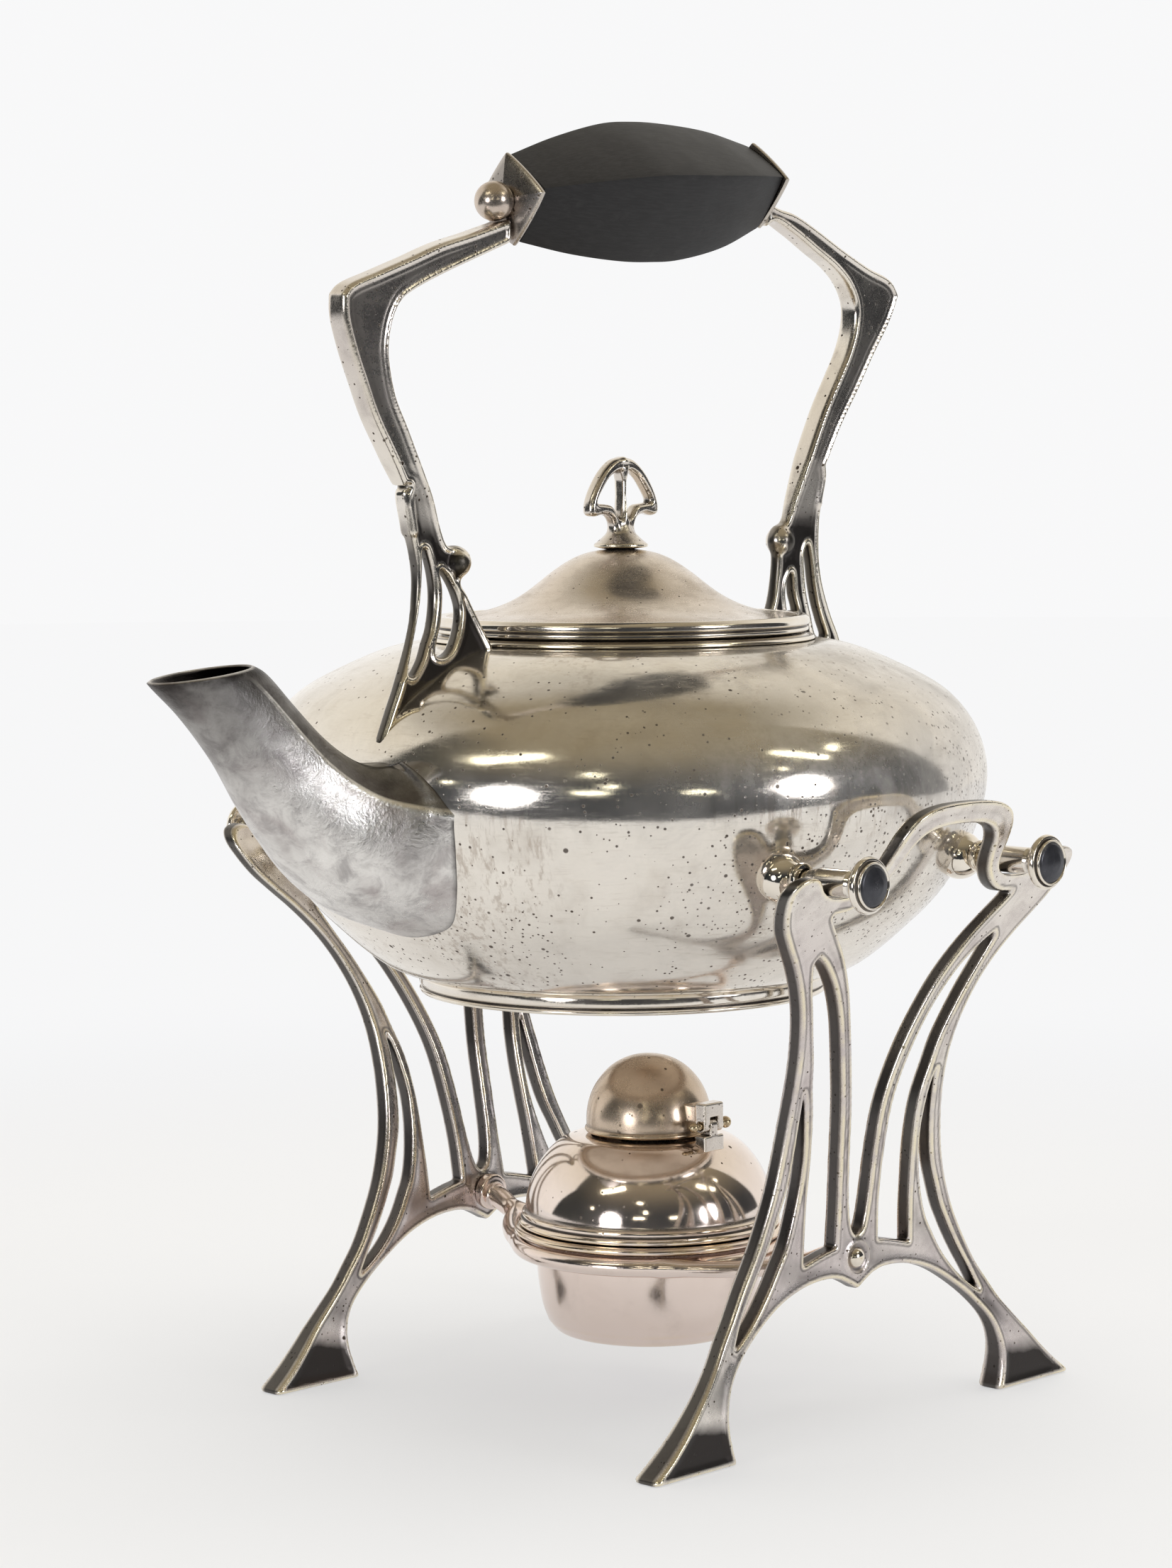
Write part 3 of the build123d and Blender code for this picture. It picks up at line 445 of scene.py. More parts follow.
# ----------------------------------------------------------------- node maker
class Nodes:
    def __init__(self, tree):
        self.t = tree
        tree.nodes.clear()

    def new(self, kind, **props):
        n = self.t.nodes.new(kind)
        for k, v in props.items():
            setattr(n, k, v)
        return n

    def link(self, a, b):
        self.t.links.new(a, b)

    def give(self, sock, v):
        if hasattr(v, "is_linked") or isinstance(v, bpy.types.NodeSocket):
            self.link(v, sock)
        elif v is not None:
            sock.default_value = v

    def math(self, op, a, b=None, c=None, clamp=False):
        n = self.new("ShaderNodeMath", operation=op, use_clamp=clamp)
        self.give(n.inputs[0], a)
        if b is not None:
            self.give(n.inputs[1], b)
        if c is not None:
            self.give(n.inputs[2], c)
        return n.outputs[0]

    def vmath(self, op, a, b=None):
        n = self.new("ShaderNodeVectorMath", operation=op)
        self.give(n.inputs[0], a)
        if b is not None:
            self.give(n.inputs[1], b)
        return n.outputs["Value"] if op in ("DOT_PRODUCT", "LENGTH", "DISTANCE") else n.outputs["Vector"]

    def mix(self, fac, a, b, mode="MIX"):
        n = self.new("ShaderNodeMix", data_type="RGBA", blend_type=mode)
        self.give(n.inputs["Factor"], fac)
        self.give(n.inputs[6], col(a))
        self.give(n.inputs[7], col(b))
        return n.outputs[2]

    def lerp(self, fac, a, b):
        n = self.new("ShaderNodeMix", data_type="FLOAT")
        self.give(n.inputs["Factor"], fac)
        self.give(n.inputs[2], a)
        self.give(n.inputs[3], b)
        return n.outputs[0]

    def noise(self, vec, scale, detail=3.0, rough=0.5, distort=0.0, out="Fac"):
        n = self.new("ShaderNodeTexNoise")
        self.give(n.inputs["Vector"], vec)
        n.inputs["Scale"].default_value = scale
        n.inputs["Detail"].default_value = detail
        n.inputs["Roughness"].default_value = rough
        n.inputs["Distortion"].default_value = distort
        return n.outputs[out]

    def cells(self, vec, scale, jitter=1.0):
        n = self.new("ShaderNodeTexVoronoi", feature="F1")
        self.give(n.inputs["Vector"], vec)
        n.inputs["Scale"].default_value = scale
        n.inputs["Randomness"].default_value = jitter
        return n.outputs["Distance"], n.outputs["Color"]

    def step(self, x, a, b):
        n = self.new("ShaderNodeMapRange", interpolation_type="SMOOTHSTEP")
        self.give(n.inputs["Value"], x)
        self.give(n.inputs["From Min"], a)
        self.give(n.inputs["From Max"], b)
        n.inputs["To Min"].default_value = 0.0
        n.inputs["To Max"].default_value = 1.0
        return n.outputs["Result"]

    def scaled(self, vec, s, move=(0, 0, 0)):
        n = self.new("ShaderNodeMapping")
        self.give(n.inputs["Vector"], vec)
        n.inputs["Scale"].default_value = s
        n.inputs["Location"].default_value = move
        return n.outputs["Vector"]

    def attr(self, name):
        n = self.new("ShaderNodeAttribute", attribute_name=name, attribute_type="GEOMETRY")
        return n.outputs["Fac"]

    def sep(self, vec):
        n = self.new("ShaderNodeSeparateXYZ")
        self.give(n.inputs[0], vec)
        return n.outputs


def col(c):
    if isinstance(c, (tuple, list)) and len(c) == 3:
        return (*c, 1.0)
    return c


def silver(name, tint=(0.86, 0.79, 0.69), tint2=(0.80, 0.70, 0.62), rough=(0.07, 0.20), pits=0.0, pit_scale=900.0, pit_size=0.30,
           stain=0.25, stain_col=(0.30, 0.25, 0.21), grain=0.25, grain_scale=2200.0, wave=0.0, dark_col=(0.045, 0.040, 0.038),
           dark=1.0, edge_highlight=0.5, edge_highlight_col=(0.78, 0.62, 0.33), streak=0.0, pit_mask=None, bump=0.15, mottle=0.0, marks=True, wall_dark_reflection=0.0,
           haze=0.0, haze_mask=None, haze_col=(0.60, 0.52, 0.45), shoulder_tint=None, drips=0.0, mottle_col=(0.24, 0.22, 0.21)):
    m = bpy.data.materials.new(name)
    m.use_nodes = True
    N = Nodes(m.node_tree)
    out = N.new("ShaderNodeOutputMaterial")
    b = N.new("ShaderNodeBsdfPrincipled")
    P = N.new("ShaderNodeTexCoord").outputs["Object"]
    big = N.noise(P, 16.0, 3.0, 0.55, 0.4)
    mid = N.noise(P, 85.0, 5.0, 0.62, 0.3)
    fine = N.noise(P, grain_scale, 2.0, 0.6)
    c = N.mix(N.step(big, 0.36, 0.66), tint, tint2)
    c = N.mix(N.math("MULTIPLY", N.step(mid, 0.50, 0.78), stain), c, stain_col)
    r = N.lerp(N.step(N.math("ADD", N.math("MULTIPLY", mid, 0.7), N.math("MULTIPLY", big, 0.3)), 0.34, 0.68), rough[0], rough[1])
    r = N.math("ADD", r, N.math("MULTIPLY", N.math("SUBTRACT", fine, 0.5), grain))
    metal = 1.0
    height = N.math("MULTIPLY", fine, 0.35)
    if mottle:
        mo = N.noise(P, 150.0, 6.0, 0.7, 0.5)
        mo2 = N.noise(P, 38.0, 4.0, 0.6, 0.8)
        c = N.mix(N.math("MULTIPLY", N.step(mo, 0.42, 0.70), mottle), c, mottle_col)
        c = N.mix(N.math("MULTIPLY", N.step(mo2, 0.50, 0.72), mottle * 0.8), c, (0.33, 0.27, 0.27))
        r = N.math("ADD", r, N.math("MULTIPLY", mo, 0.12))
        height = N.math("ADD", height, N.math("MULTIPLY", mo, 1.2))
    if streak:
        st = N.noise(N.scaled(P, (1.0, 1.0, 9.0)), 150.0, 4.0, 0.7)
        c = N.mix(N.math("MULTIPLY", N.step(st, 0.52, 0.74), streak), c, (0.36, 0.28, 0.20))
        r = N.math("ADD", r, N.math("MULTIPLY", N.step(st, 0.45, 0.75), 0.10))
    if drips:
        dr_ = N.noise(N.scaled(P, (6.0, 6.0, 0.8)), 95.0, 4.0, 0.65)
        patch = N.step(N.noise(P, 26.0, 2.0, 0.5), 0.50, 0.64)
        c = N.mix(N.math("MULTIPLY", N.math("MULTIPLY", N.step(dr_, 0.48, 0.66), patch), drips), c, (0.33, 0.25, 0.19))
    if shoulder_tint:
        c = N.mix(shoulder_tint(N, P), c, (0.52, 0.44, 0.33))
    if pits:
        masks = []
        for k, (sc, size, part) in enumerate(((pit_scale, pit_size, 1.0), (pit_scale * 0.42, pit_size * 0.72, 0.45))):
            d, cc = N.cells(N.scaled(P, (1, 1, 1), (0.13 * k, 0.07 * k, 0.11 * k)), sc)
            rnd = N.sep(cc)
            lot = N.math("LESS_THAN", rnd[0], N.math("MULTIPLY", pit_mask(N, P) if pit_mask else 1.0, pits * part))
            rim = N.math("MULTIPLY", size, N.math("ADD", 0.45, rnd[1]))
            masks.append(N.math("MULTIPLY", lot, N.math("SUBTRACT", 1.0, N.step(d, N.math("MULTIPLY", rim, 0.6), rim))))
        pm = N.math("MAXIMUM", masks[0], masks[1])
        c = N.mix(pm, c, (0.085, 0.062, 0.046))
        r = N.lerp(pm, r, 0.55)
        height = N.math("SUBTRACT", height, N.math("MULTIPLY", pm, 1.5))
    if marks:
        dk = N.math("MULTIPLY", N.attr("dark"), dark)
        dk = N.math("MULTIPLY", dk, N.math("ADD", 0.6, N.math("MULTIPLY", mid, 0.9)), clamp=True)
        c = N.mix(dk, c, dark_col)
        r = N.lerp(N.math("MULTIPLY", dk, 0.8), r, 0.42)
        # painted highlight: convex edges and ridges, marked by the edge attribute, get a light cream-to-gold colour and
        # lower roughness
        ed = N.math("MULTIPLY", N.math("MULTIPLY", N.attr("edge"), N.step(mid, 0.30, 0.62)), edge_highlight, clamp=True)
        c = N.mix(ed, c, edge_highlight_col)
        r = N.lerp(N.math("MULTIPLY", ed, 0.5), r, 0.16)
    # painted dark reflection: the narrow side walls, marked by the wall attribute, are painted near-black and made
    # rougher
    if wall_dark_reflection:
        sd = N.math("MULTIPLY", N.attr("wall"), wall_dark_reflection, clamp=True)
        c = N.mix(sd, c, (0.035, 0.032, 0.030))
        r = N.lerp(sd, r, 0.34)
    N.give(b.inputs["Base Color"], c)
    N.give(b.inputs["Roughness"], N.math("MAXIMUM", r, 0.03))
    b.inputs["Metallic"].default_value = metal
    bn = N.new("ShaderNodeBump")
    bn.inputs["Strength"].default_value = 1.0
    bn.inputs["Distance"].default_value = bump * 0.0001
    N.give(bn.inputs["Height"], height)
    last = bn
    if wave:
        w1 = N.noise(N.scaled(P, (1.0, 1.0, 2.2)), 60.0, 2.0, 0.5)
        bw = N.new("ShaderNodeBump")
        bw.inputs["Strength"].default_value = 1.0
        bw.inputs["Distance"].default_value = wave * 0.001
        N.give(bw.inputs["Height"], w1)
        N.link(bw.outputs[0], bn.inputs["Normal"])
    N.link(bn.outputs[0], b.inputs["Normal"])
    if haze:
        # a worn, fogged layer spreads part of the light
        b2 = N.new("ShaderNodeBsdfPrincipled")
        N.give(b2.inputs["Base Color"], N.mix(N.step(mid, 0.35, 0.7), haze_col, tuple(k * 0.78 for k in haze_col)))
        b2.inputs["Roughness"].default_value = 0.52
        b2.inputs["Metallic"].default_value = 1.0
        N.link(bn.outputs[0], b2.inputs["Normal"])
        fog = N.noise(P, 48.0, 6.0, 0.68, 0.4)
        fac = N.math("MULTIPLY", N.lerp(N.step(fog, 0.36, 0.66), 0.45, 1.35), haze)
        if haze_mask:
            fac = N.math("MULTIPLY", fac, haze_mask(N, P), clamp=True)
        ms = N.new("ShaderNodeMixShader")
        N.give(ms.inputs[0], fac)
        N.link(b.outputs[0], ms.inputs[1])
        N.link(b2.outputs[0], ms.inputs[2])
        N.link(ms.outputs[0], out.inputs[0])
    else:
        N.link(b.outputs[0], out.inputs[0])
    return m


def body_haze(N, P):
    """Foggiest on the plain side, above the belly."""
    s = N.sep(P)
    side = N.step(N.math("SUBTRACT", s[0], s[1]), -0.03, 0.15)
    up = N.step(s[2], 0.125, 0.165)
    return N.math("ADD", 0.45, N.math("MULTIPLY", N.math("ADD", 0.35, N.math("MULTIPLY", up, 0.65)), N.math("MULTIPLY", side, 1.5)))


def body_shoulder_tint(N, P):
    """Browner over the shoulder, patchy."""
    s = N.sep(P)
    up = N.step(s[2], 0.158, 0.186)
    n = N.step(N.noise(P, 55.0, 6.0, 0.72, 0.5), 0.34, 0.66)
    return N.math("MULTIPLY", N.math("MULTIPLY", up, N.math("ADD", 0.20, N.math("MULTIPLY", n, 0.80))), 0.30)


def body_pits(N, P):
    """More pits on the lower half and towards the plain side."""
    s = N.sep(P)
    low = N.math("SUBTRACT", 1.0, N.step(s[2], 0.150, 0.195))
    side = N.step(N.math("SUBTRACT", s[0], s[1]), 0.02, 0.15)
    n = N.step(N.noise(P, 30.0, 3.0, 0.6), 0.38, 0.66)
    a = N.math("ADD", N.math("MULTIPLY", low, 0.7), 0.30)
    a = N.math("MULTIPLY", a, N.math("ADD", 0.45, N.math("MULTIPLY", side, 0.9)))
    return N.math("MULTIPLY", a, N.math("ADD", 0.25, n))


M_BODY = silver("silver_body", (0.86, 0.815, 0.745), (0.80, 0.75, 0.68), (0.07, 0.16), pits=0.85, pit_scale=820.0, pit_size=0.27, stain=0.24,
                stain_col=(0.40, 0.33, 0.27), grain=0.16, wave=0.09, pit_mask=body_pits, streak=0.15, edge_highlight=0.4, bump=0.10,
                haze=0.26, haze_mask=body_haze, haze_col=(0.72, 0.69, 0.66), shoulder_tint=body_shoulder_tint, drips=0.5)
M_LID = silver("silver_lid", (0.86, 0.79, 0.71), (0.78, 0.69, 0.61), (0.16, 0.30), pits=0.12, pit_scale=700.0, pit_size=0.20, stain=0.40,
               stain_col=(0.36, 0.29, 0.25), grain=0.22, wave=0.12, streak=0.25, edge_highlight=0.3, bump=0.16, haze=0.30, haze_col=(0.74, 0.66, 0.58))
M_RING = silver("silver_mouldings", (0.86, 0.81, 0.74), (0.78, 0.72, 0.64), (0.07, 0.16), stain=0.20, stain_col=(0.45, 0.38, 0.30), dark=0.9, edge_highlight=0.30,
                edge_highlight_col=(0.86, 0.78, 0.60), haze=0.12)
M_CAST = silver("silver_castings", (0.80, 0.75, 0.68), (0.66, 0.60, 0.55), (0.16, 0.30), pits=0.30, pit_scale=800.0, pit_size=0.24, stain=0.50,
                stain_col=(0.27, 0.23, 0.22), grain=0.25, dark=1.5, edge_highlight=1.0, edge_highlight_col=(0.93, 0.86, 0.68), bump=0.35, wall_dark_reflection=0.85)
M_FRAME = silver("silver_frames", (0.80, 0.755, 0.70), (0.66, 0.60, 0.585), (0.14, 0.28), pits=0.34, pit_scale=900.0, pit_size=0.22, stain=0.46,
                 stain_col=(0.32, 0.27, 0.27), grain=0.25, dark=1.5, edge_highlight=1.0, edge_highlight_col=(0.92, 0.83, 0.60), bump=0.35, wall_dark_reflection=0.90,
                 mottle=0.32, mottle_col=(0.36, 0.31, 0.30))
M_SPOUT = silver("silver_spout", (0.84, 0.82, 0.79), (0.66, 0.64, 0.62), (0.24, 0.40), pits=0.0, stain=0.45,
                 stain_col=(0.26, 0.23, 0.23), grain=0.35, grain_scale=1100.0, mottle=0.62, mottle_col=(0.30, 0.28, 0.28), dark=1.35, edge_highlight=1.0,
                 edge_highlight_col=(0.95, 0.93, 0.89), bump=3.4)
M_BURN = silver("silver_burner", (0.86, 0.76, 0.69), (0.80, 0.69, 0.62), (0.05, 0.13), pits=0.08, pit_scale=800.0, pit_size=0.22, stain=0.18,
                stain_col=(0.45, 0.36, 0.31), grain=0.12, edge_highlight=0.5, bump=0.08, haze=0.10)
M_BOWL = silver("silver_bowl", (0.82, 0.71, 0.65), (0.76, 0.64, 0.58), (0.12, 0.22), pits=0.0, stain=0.22, stain_col=(0.50, 0.40, 0.36), grain=0.2,
                edge_highlight=0.5, bump=0.12)
M_CAP = silver("silver_cap", (0.74, 0.62, 0.50), (0.62, 0.50, 0.39), (0.17, 0.30), pits=0.12, pit_scale=700.0, pit_size=0.25, stain=0.45,
               stain_col=(0.38, 0.28, 0.20), grain=0.15, edge_highlight=0.5, bump=0.10, haze=0.30, haze_col=(0.58, 0.47, 0.36))
M_BRIGHT = silver("silver_bright", (0.88, 0.83, 0.75), (0.80, 0.74, 0.66), (0.05, 0.12), stain=0.20, dark=1.1, edge_highlight=0.35)
M_BALL = silver("silver_brown", (0.72, 0.63, 0.54), (0.60, 0.50, 0.43), (0.16, 0.28), stain=0.40, stain_col=(0.33, 0.26, 0.22), dark=1.1, edge_highlight=0.3, haze=0.2)
# painted dark reflection: the ferrule plates' low tint stands in for the dark room mirrored in their polished silver
M_FERRULE = silver("silver_ferrules", (0.50, 0.46, 0.42), (0.40, 0.36, 0.34), (0.18, 0.32), pits=0.2, stain=0.5, stain_col=(0.20, 0.18, 0.17), dark=1.3,
                   edge_highlight=0.55, edge_highlight_col=(0.80, 0.74, 0.64), bump=0.3)
M_DULL = silver("brass_dull", (0.60, 0.50, 0.34), (0.52, 0.42, 0.28), (0.20, 0.34), stain=0.4, marks=False)
M_INNER = silver("silver_inner", (0.74, 0.66, 0.56), (0.66, 0.58, 0.49), (0.30, 0.46), stain=0.35, stain_col=(0.45, 0.37, 0.30), marks=False)


def plain_principled(name):
    m = bpy.data.materials.new(name)
    m.use_nodes = True
    N = Nodes(m.node_tree)
    out = N.new("ShaderNodeOutputMaterial")
    b = N.new("ShaderNodeBsdfPrincipled")
    N.link(b.outputs[0], out.inputs[0])
    P = N.new("ShaderNodeTexCoord").outputs["Object"]
    return m, N, b, P


def ebony():
    m, N, b, P = plain_principled("ebonised_wood")
    g = N.noise(N.scaled(P, (1.0, 9.0, 9.0)), 190.0, 5.0, 0.6, 0.6)
    s = N.noise(P, 120.0, 4.0, 0.6)
    c = N.mix(N.step(g, 0.35, 0.75), (0.0085, 0.0082, 0.0090), (0.0165, 0.0158, 0.0168))
    c = N.mix(N.math("MULTIPLY", N.step(s, 0.58, 0.80), 0.35), c, (0.045, 0.042, 0.042))
    N.give(b.inputs["Base Color"], c)
    N.give(b.inputs["Roughness"], N.lerp(s, 0.42, 0.58))
    b.inputs["Specular IOR Level"].default_value = 0.34
    bn = N.new("ShaderNodeBump")
    bn.inputs["Distance"].default_value = 0.00004
    N.give(bn.inputs["Height"], g)
    N.link(bn.outputs[0], b.inputs["Normal"])
    return m


def painted_dark_disc():
    # painted dark reflection: the polished faces of the trunnion caps are painted near-black for the dark room they
    # mirror
    m, N, b, P = plain_principled("dark_inlay")
    g = N.noise(P, 420.0, 4.0, 0.6)
    N.give(b.inputs["Base Color"], N.mix(g, (0.030, 0.032, 0.040), (0.085, 0.085, 0.095)))
    N.give(b.inputs["Roughness"], N.lerp(g, 0.16, 0.34))
    b.inputs["Metallic"].default_value = 0.6
    return m


def cotton():
    m, N, b, P = plain_principled("wick_cotton")
    w = N.new("ShaderNodeTexWave", wave_type="BANDS", bands_direction="DIAGONAL")
    N.give(w.inputs["Vector"], P)
    w.inputs["Scale"].default_value = 420.0
    w.inputs["Distortion"].default_value = 3.0
    N.give(b.inputs["Base Color"], N.mix(w.outputs["Fac"], (0.52, 0.47, 0.38), (0.78, 0.74, 0.64)))
    b.inputs["Roughness"].default_value = 0.95
    bn = N.new("ShaderNodeBump")
    bn.inputs["Distance"].default_value = 0.0003
    N.give(bn.inputs["Height"], w.outputs["Fac"])
    N.link(bn.outputs[0], b.inputs["Normal"])
    return m


M_WOOD, M_DARK_DISC, M_WICK = ebony(), painted_dark_disc(), cotton()

for node, mat in (("kettle_base_plate", M_INNER), ("lid_bezel", M_LID), ("burner_wick_tube", M_DULL), ("burner_wick", M_WICK),
                  ("handle_tie_rod", M_DULL), ("finial_screw", M_DULL)):
    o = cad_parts[node]
    o = o if isinstance(o, bpy.types.Object) else bpy.data.objects[node]
    o.data.materials.clear()
    o.data.materials.append(mat)

# --------------------------------------------------------------- kettle body
BODY = [(52.2, 111.9), (56.5, 112.4), (60.6, 114.0), (63.8, 116.1), (66.4, 118.1), (69.0, 120.3), (73.2, 124.2),
        (79.4, 130.2), (84.2, 136.4), (88.2, 143.4), (91.5, 151.4), (93.3, 158.4), (93.7, 163.2), (93.1, 168.2),
        (91.6, 172.9), (89.6, 176.7), (86.8, 180.5), (83.1, 184.1), (78.5, 187.1), (72.3, 190.2), (64.5, 193.7),
        (58.0, 195.9), (53.2, 196.8), (49.8, 197.0)]
body_curve = smooth_curve(BODY, 2.6, 0.8)
# smoothing pulls the belly in a little: put the greatest radius back
body_curve[:, 0] += np.interp(body_curve[:, 1], [112, 130, 163, 185, 197], [0, 0.25, 93.7 - body_curve[:, 0].max(), 0.25, 0])
bz = body_curve[:, 1]


def body_r(z):
    return np.interp(z, bz, body_curve[:, 0])


def body_depth(x, y, z):
    """Distance outside the body's skin, roughly, negative inside."""
    r = np.hypot(x, y)
    zi = np.clip(z, bz[0], bz[-1])
    slope = np.gradient(body_curve[:, 0], body_curve[:, 1] + np.arange(len(bz)) * 1e-7)
    s = np.interp(zi, bz, np.clip(slope, -6, 6))
    return (r - body_r(zi)) / np.sqrt(1 + s * s)


o = turned("kettle_body_skin", shell(body_curve, inset(body_curve, 1.2)), 272, step=1.0, sharp=50)
put(o, "kettle", "silver_plate", M_BODY, "kettle_body")

foot = fillets([(50.0, 111.95, 0), (52.0, 112.1, 0.4), (52.75, 111.2, 0.9), (52.75, 109.4, 0.9), (52.2, 108.65, 0.15), (51.85, 108.4, 0.1), (52.35, 108.15, 0.3),
                (52.75, 107.6, 0.4), (52.3, 106.95, 0.4), (50.9, 106.9, 0.6), (49.6, 107.6, 0.5), (49.2, 109.0, 0.4), (49.2, 111.2, 0.2)])
put(turned("foot_moulding", foot, 320, step=0.5), "kettle", "silver_plate", M_RING, "kettle_foot_ring")
neck = fillets([(42.6, 195.4, 0.2), (42.6, 200.3, 0.3), (43.8, 200.3, 0.2), (43.9, 198.7, 0.3), (47.6, 198.7, 0.3), (48.3, 198.1, 0.3), (49.4, 198.3, 0.4),
                (49.75, 197.5, 0.4), (49.3, 196.8, 0.3), (49.2, 195.4, 0.2)])
put(turned("neck_moulding", neck, 256, step=0.5), "kettle", "silver_plate", M_RING, "kettle_neck_ring")

# ----------------------------------------------------------------------- lid
LID = [(45.4, 203.3), (42.0, 203.5), (37.8, 203.95), (34.0, 204.8), (30.0, 206.2), (26.5, 208.0), (23.0, 210.3), (20.0, 212.8),
       (17.0, 215.1), (14.0, 217.1), (10.4, 218.9), (6.6, 219.9), (2.2, 220.35)]
lid = smooth_curve(LID, 2.0, 0.4)
top = np.concatenate([[[46.0, 203.0]], lid, [[0.0, 220.35]]])
under = np.concatenate([[[46.0, 202.1]], inset(lid, 1.1), [[0.0, 219.25]]])
put(turned("lid_skin", shell(top, under), 288, step=0.8), "lid", "silver_plate", M_LID, "lid_shell")
rim = fillets([(45.2, 203.5, 0.3), (47.2, 203.55, 1.1), (48.45, 202.6, 1.0), (48.4, 201.15, 0.6), (47.7, 200.8, 0.1), (47.65, 200.55, 0.1), (48.15, 200.3, 0.3),
               (48.1, 199.5, 0.4), (46.2, 198.85, 0.6), (44.3, 199.2, 0.5), (43.9, 201.0, 0.5), (44.4, 202.9, 0.3)])
put(turned("lid_rim_roll", rim, 288, step=0.4), "lid", "silver_plate", M_RING, "lid_rim")

# ------------------------------------------------------------------- finial
FIN = [(0, 243.9), (3.6, 243.0), (7.0, 240.6), (10.0, 237.0), (12.0, 233.4), (12.6, 230.9), (12.3, 229.2), (10.6, 228.7), (7.4, 229.2),
       (4.9, 228.4), (3.8, 226.6), (3.8, 224.4), (5.0, 222.4), (6.6, 221.2), (6.8, 220.5)]
WIN = [(1.3, 240.0), (4.6, 239.0), (7.7, 235.8), (9.8, 232.3), (7.6, 231.9), (4.4, 231.3), (2.2, 228.6), (1.3, 228.2)]


def finial():
    h = 0.24
    o0 = np.array([-14.0, -8.2, 216.5])
    gx, gy, gz = np.arange(-14, 14, h), np.arange(-8.2, 8.2, h), np.arange(216.5, 245.2, h)
    half = catmull(FIN[:-1], 5)
    out = np.concatenate([half, [[3.4, 220.0]], [[-3.4, 220.0]], (half * [-1, 1])[::-1][:-1]])
    win = catmull(WIN, 4, closed=True)
    d = region_depth(gx, gz, out, [win, win * [-1, 1]], 5.0)
    X, Y, Z = np.meshgrid(gx, gy, gz, indexing="ij")
    D = np.repeat(d[:, None, :], len(gy), 1)
    H = 1.55 + 0.45 * bump((D - 1.1) / 1.2)
    ax = np.abs(X)
    H = H + 0.35 * bump(ax / 1.6) * (Z > 226)
    f = round_and(np.abs(Y) - H, -D, 0.95)
    R = np.hypot(X, Y)
    prof = np.interp(Z[0, 0], [216.9, 220.3, 220.6, 221.0, 221.6, 222.3, 223.2, 224.6, 226.4, 228.5],
                     [2.05, 2.05, 6.8, 7.0, 6.9, 5.9, 4.9, 3.5, 2.6, 1.2])
    stem = (R - prof[None, None, :]) * 0.75
    stem = np.maximum(stem, 216.9 - Z)
    stem = np.maximum(stem, Z - 228.4)
    f = soft_or(f, stem, 0.9)
    f = blur(f, 1)
    return cast("f", f, o0, h, smooth=3, scale=0.8)


v, q, at = finial()
put(new_mesh("finial_casting", v, q, attrs=at), "lid", "silver_satin", M_CAST, "lid_finial")

# ------------------------------------------------------------------- spout
SPOUT = np.array([(-66.0, 148.2, -2.0, 24.8, 38.0, 0.0),
                  (-86.0, 150.95, -8.0, 21.9, 30.3, 0.0),
                  (-97.0, 154.6, 18.0, 17.6, 23.0, 0.05),
                  (-107.3, 160.65, 42.0, 14.65, 16.8, 0.15),
                  (-117.3, 169.5, 54.0, 13.1, 12.8, 0.3),
                  (-126.3, 179.85, 56.0, 11.95, 10.6, 0.5),
                  (-134.95, 189.15, 70.0, 12.8, 9.4, 0.8),
                  (-141.4, 194.4, 84.0, 14.88, 9.0, 1.0)])
# half of the section, across and up: rounded under, a ridge at the shoulder, a roof
SHIELD = [(0, -1), (0.35, -0.93), (0.58, -0.80), (0.79, -0.47), (0.94, 0.0), (1.0, 0.40), (0.84, 0.68), (0.62, 0.89), (0.38, 1.01), (0, 0.99)]


def shield_loop(n):
    h_ = np.array(SHIELD, float)
    left = h_ * [-1, 1]
    under = catmull(np.concatenate([left[5:0:-1], h_[:6]]), 10)
    roof = catmull(np.concatenate([h_[5:], left[-2:4:-1]]), 10)

    def even(c, k):
        s_ = np.concatenate([[0], np.cumsum(np.linalg.norm(np.diff(c, axis=0), axis=1))])
        return np.stack([np.interp(np.linspace(0, s_[-1], k + 1), s_, c[:, j]) for j in (0, 1)], 1)[:-1]

    a, b_ = even(under, n * 5 // 8), even(roof, n - n * 5 // 8)
    return np.concatenate([a, b_]), len(a)


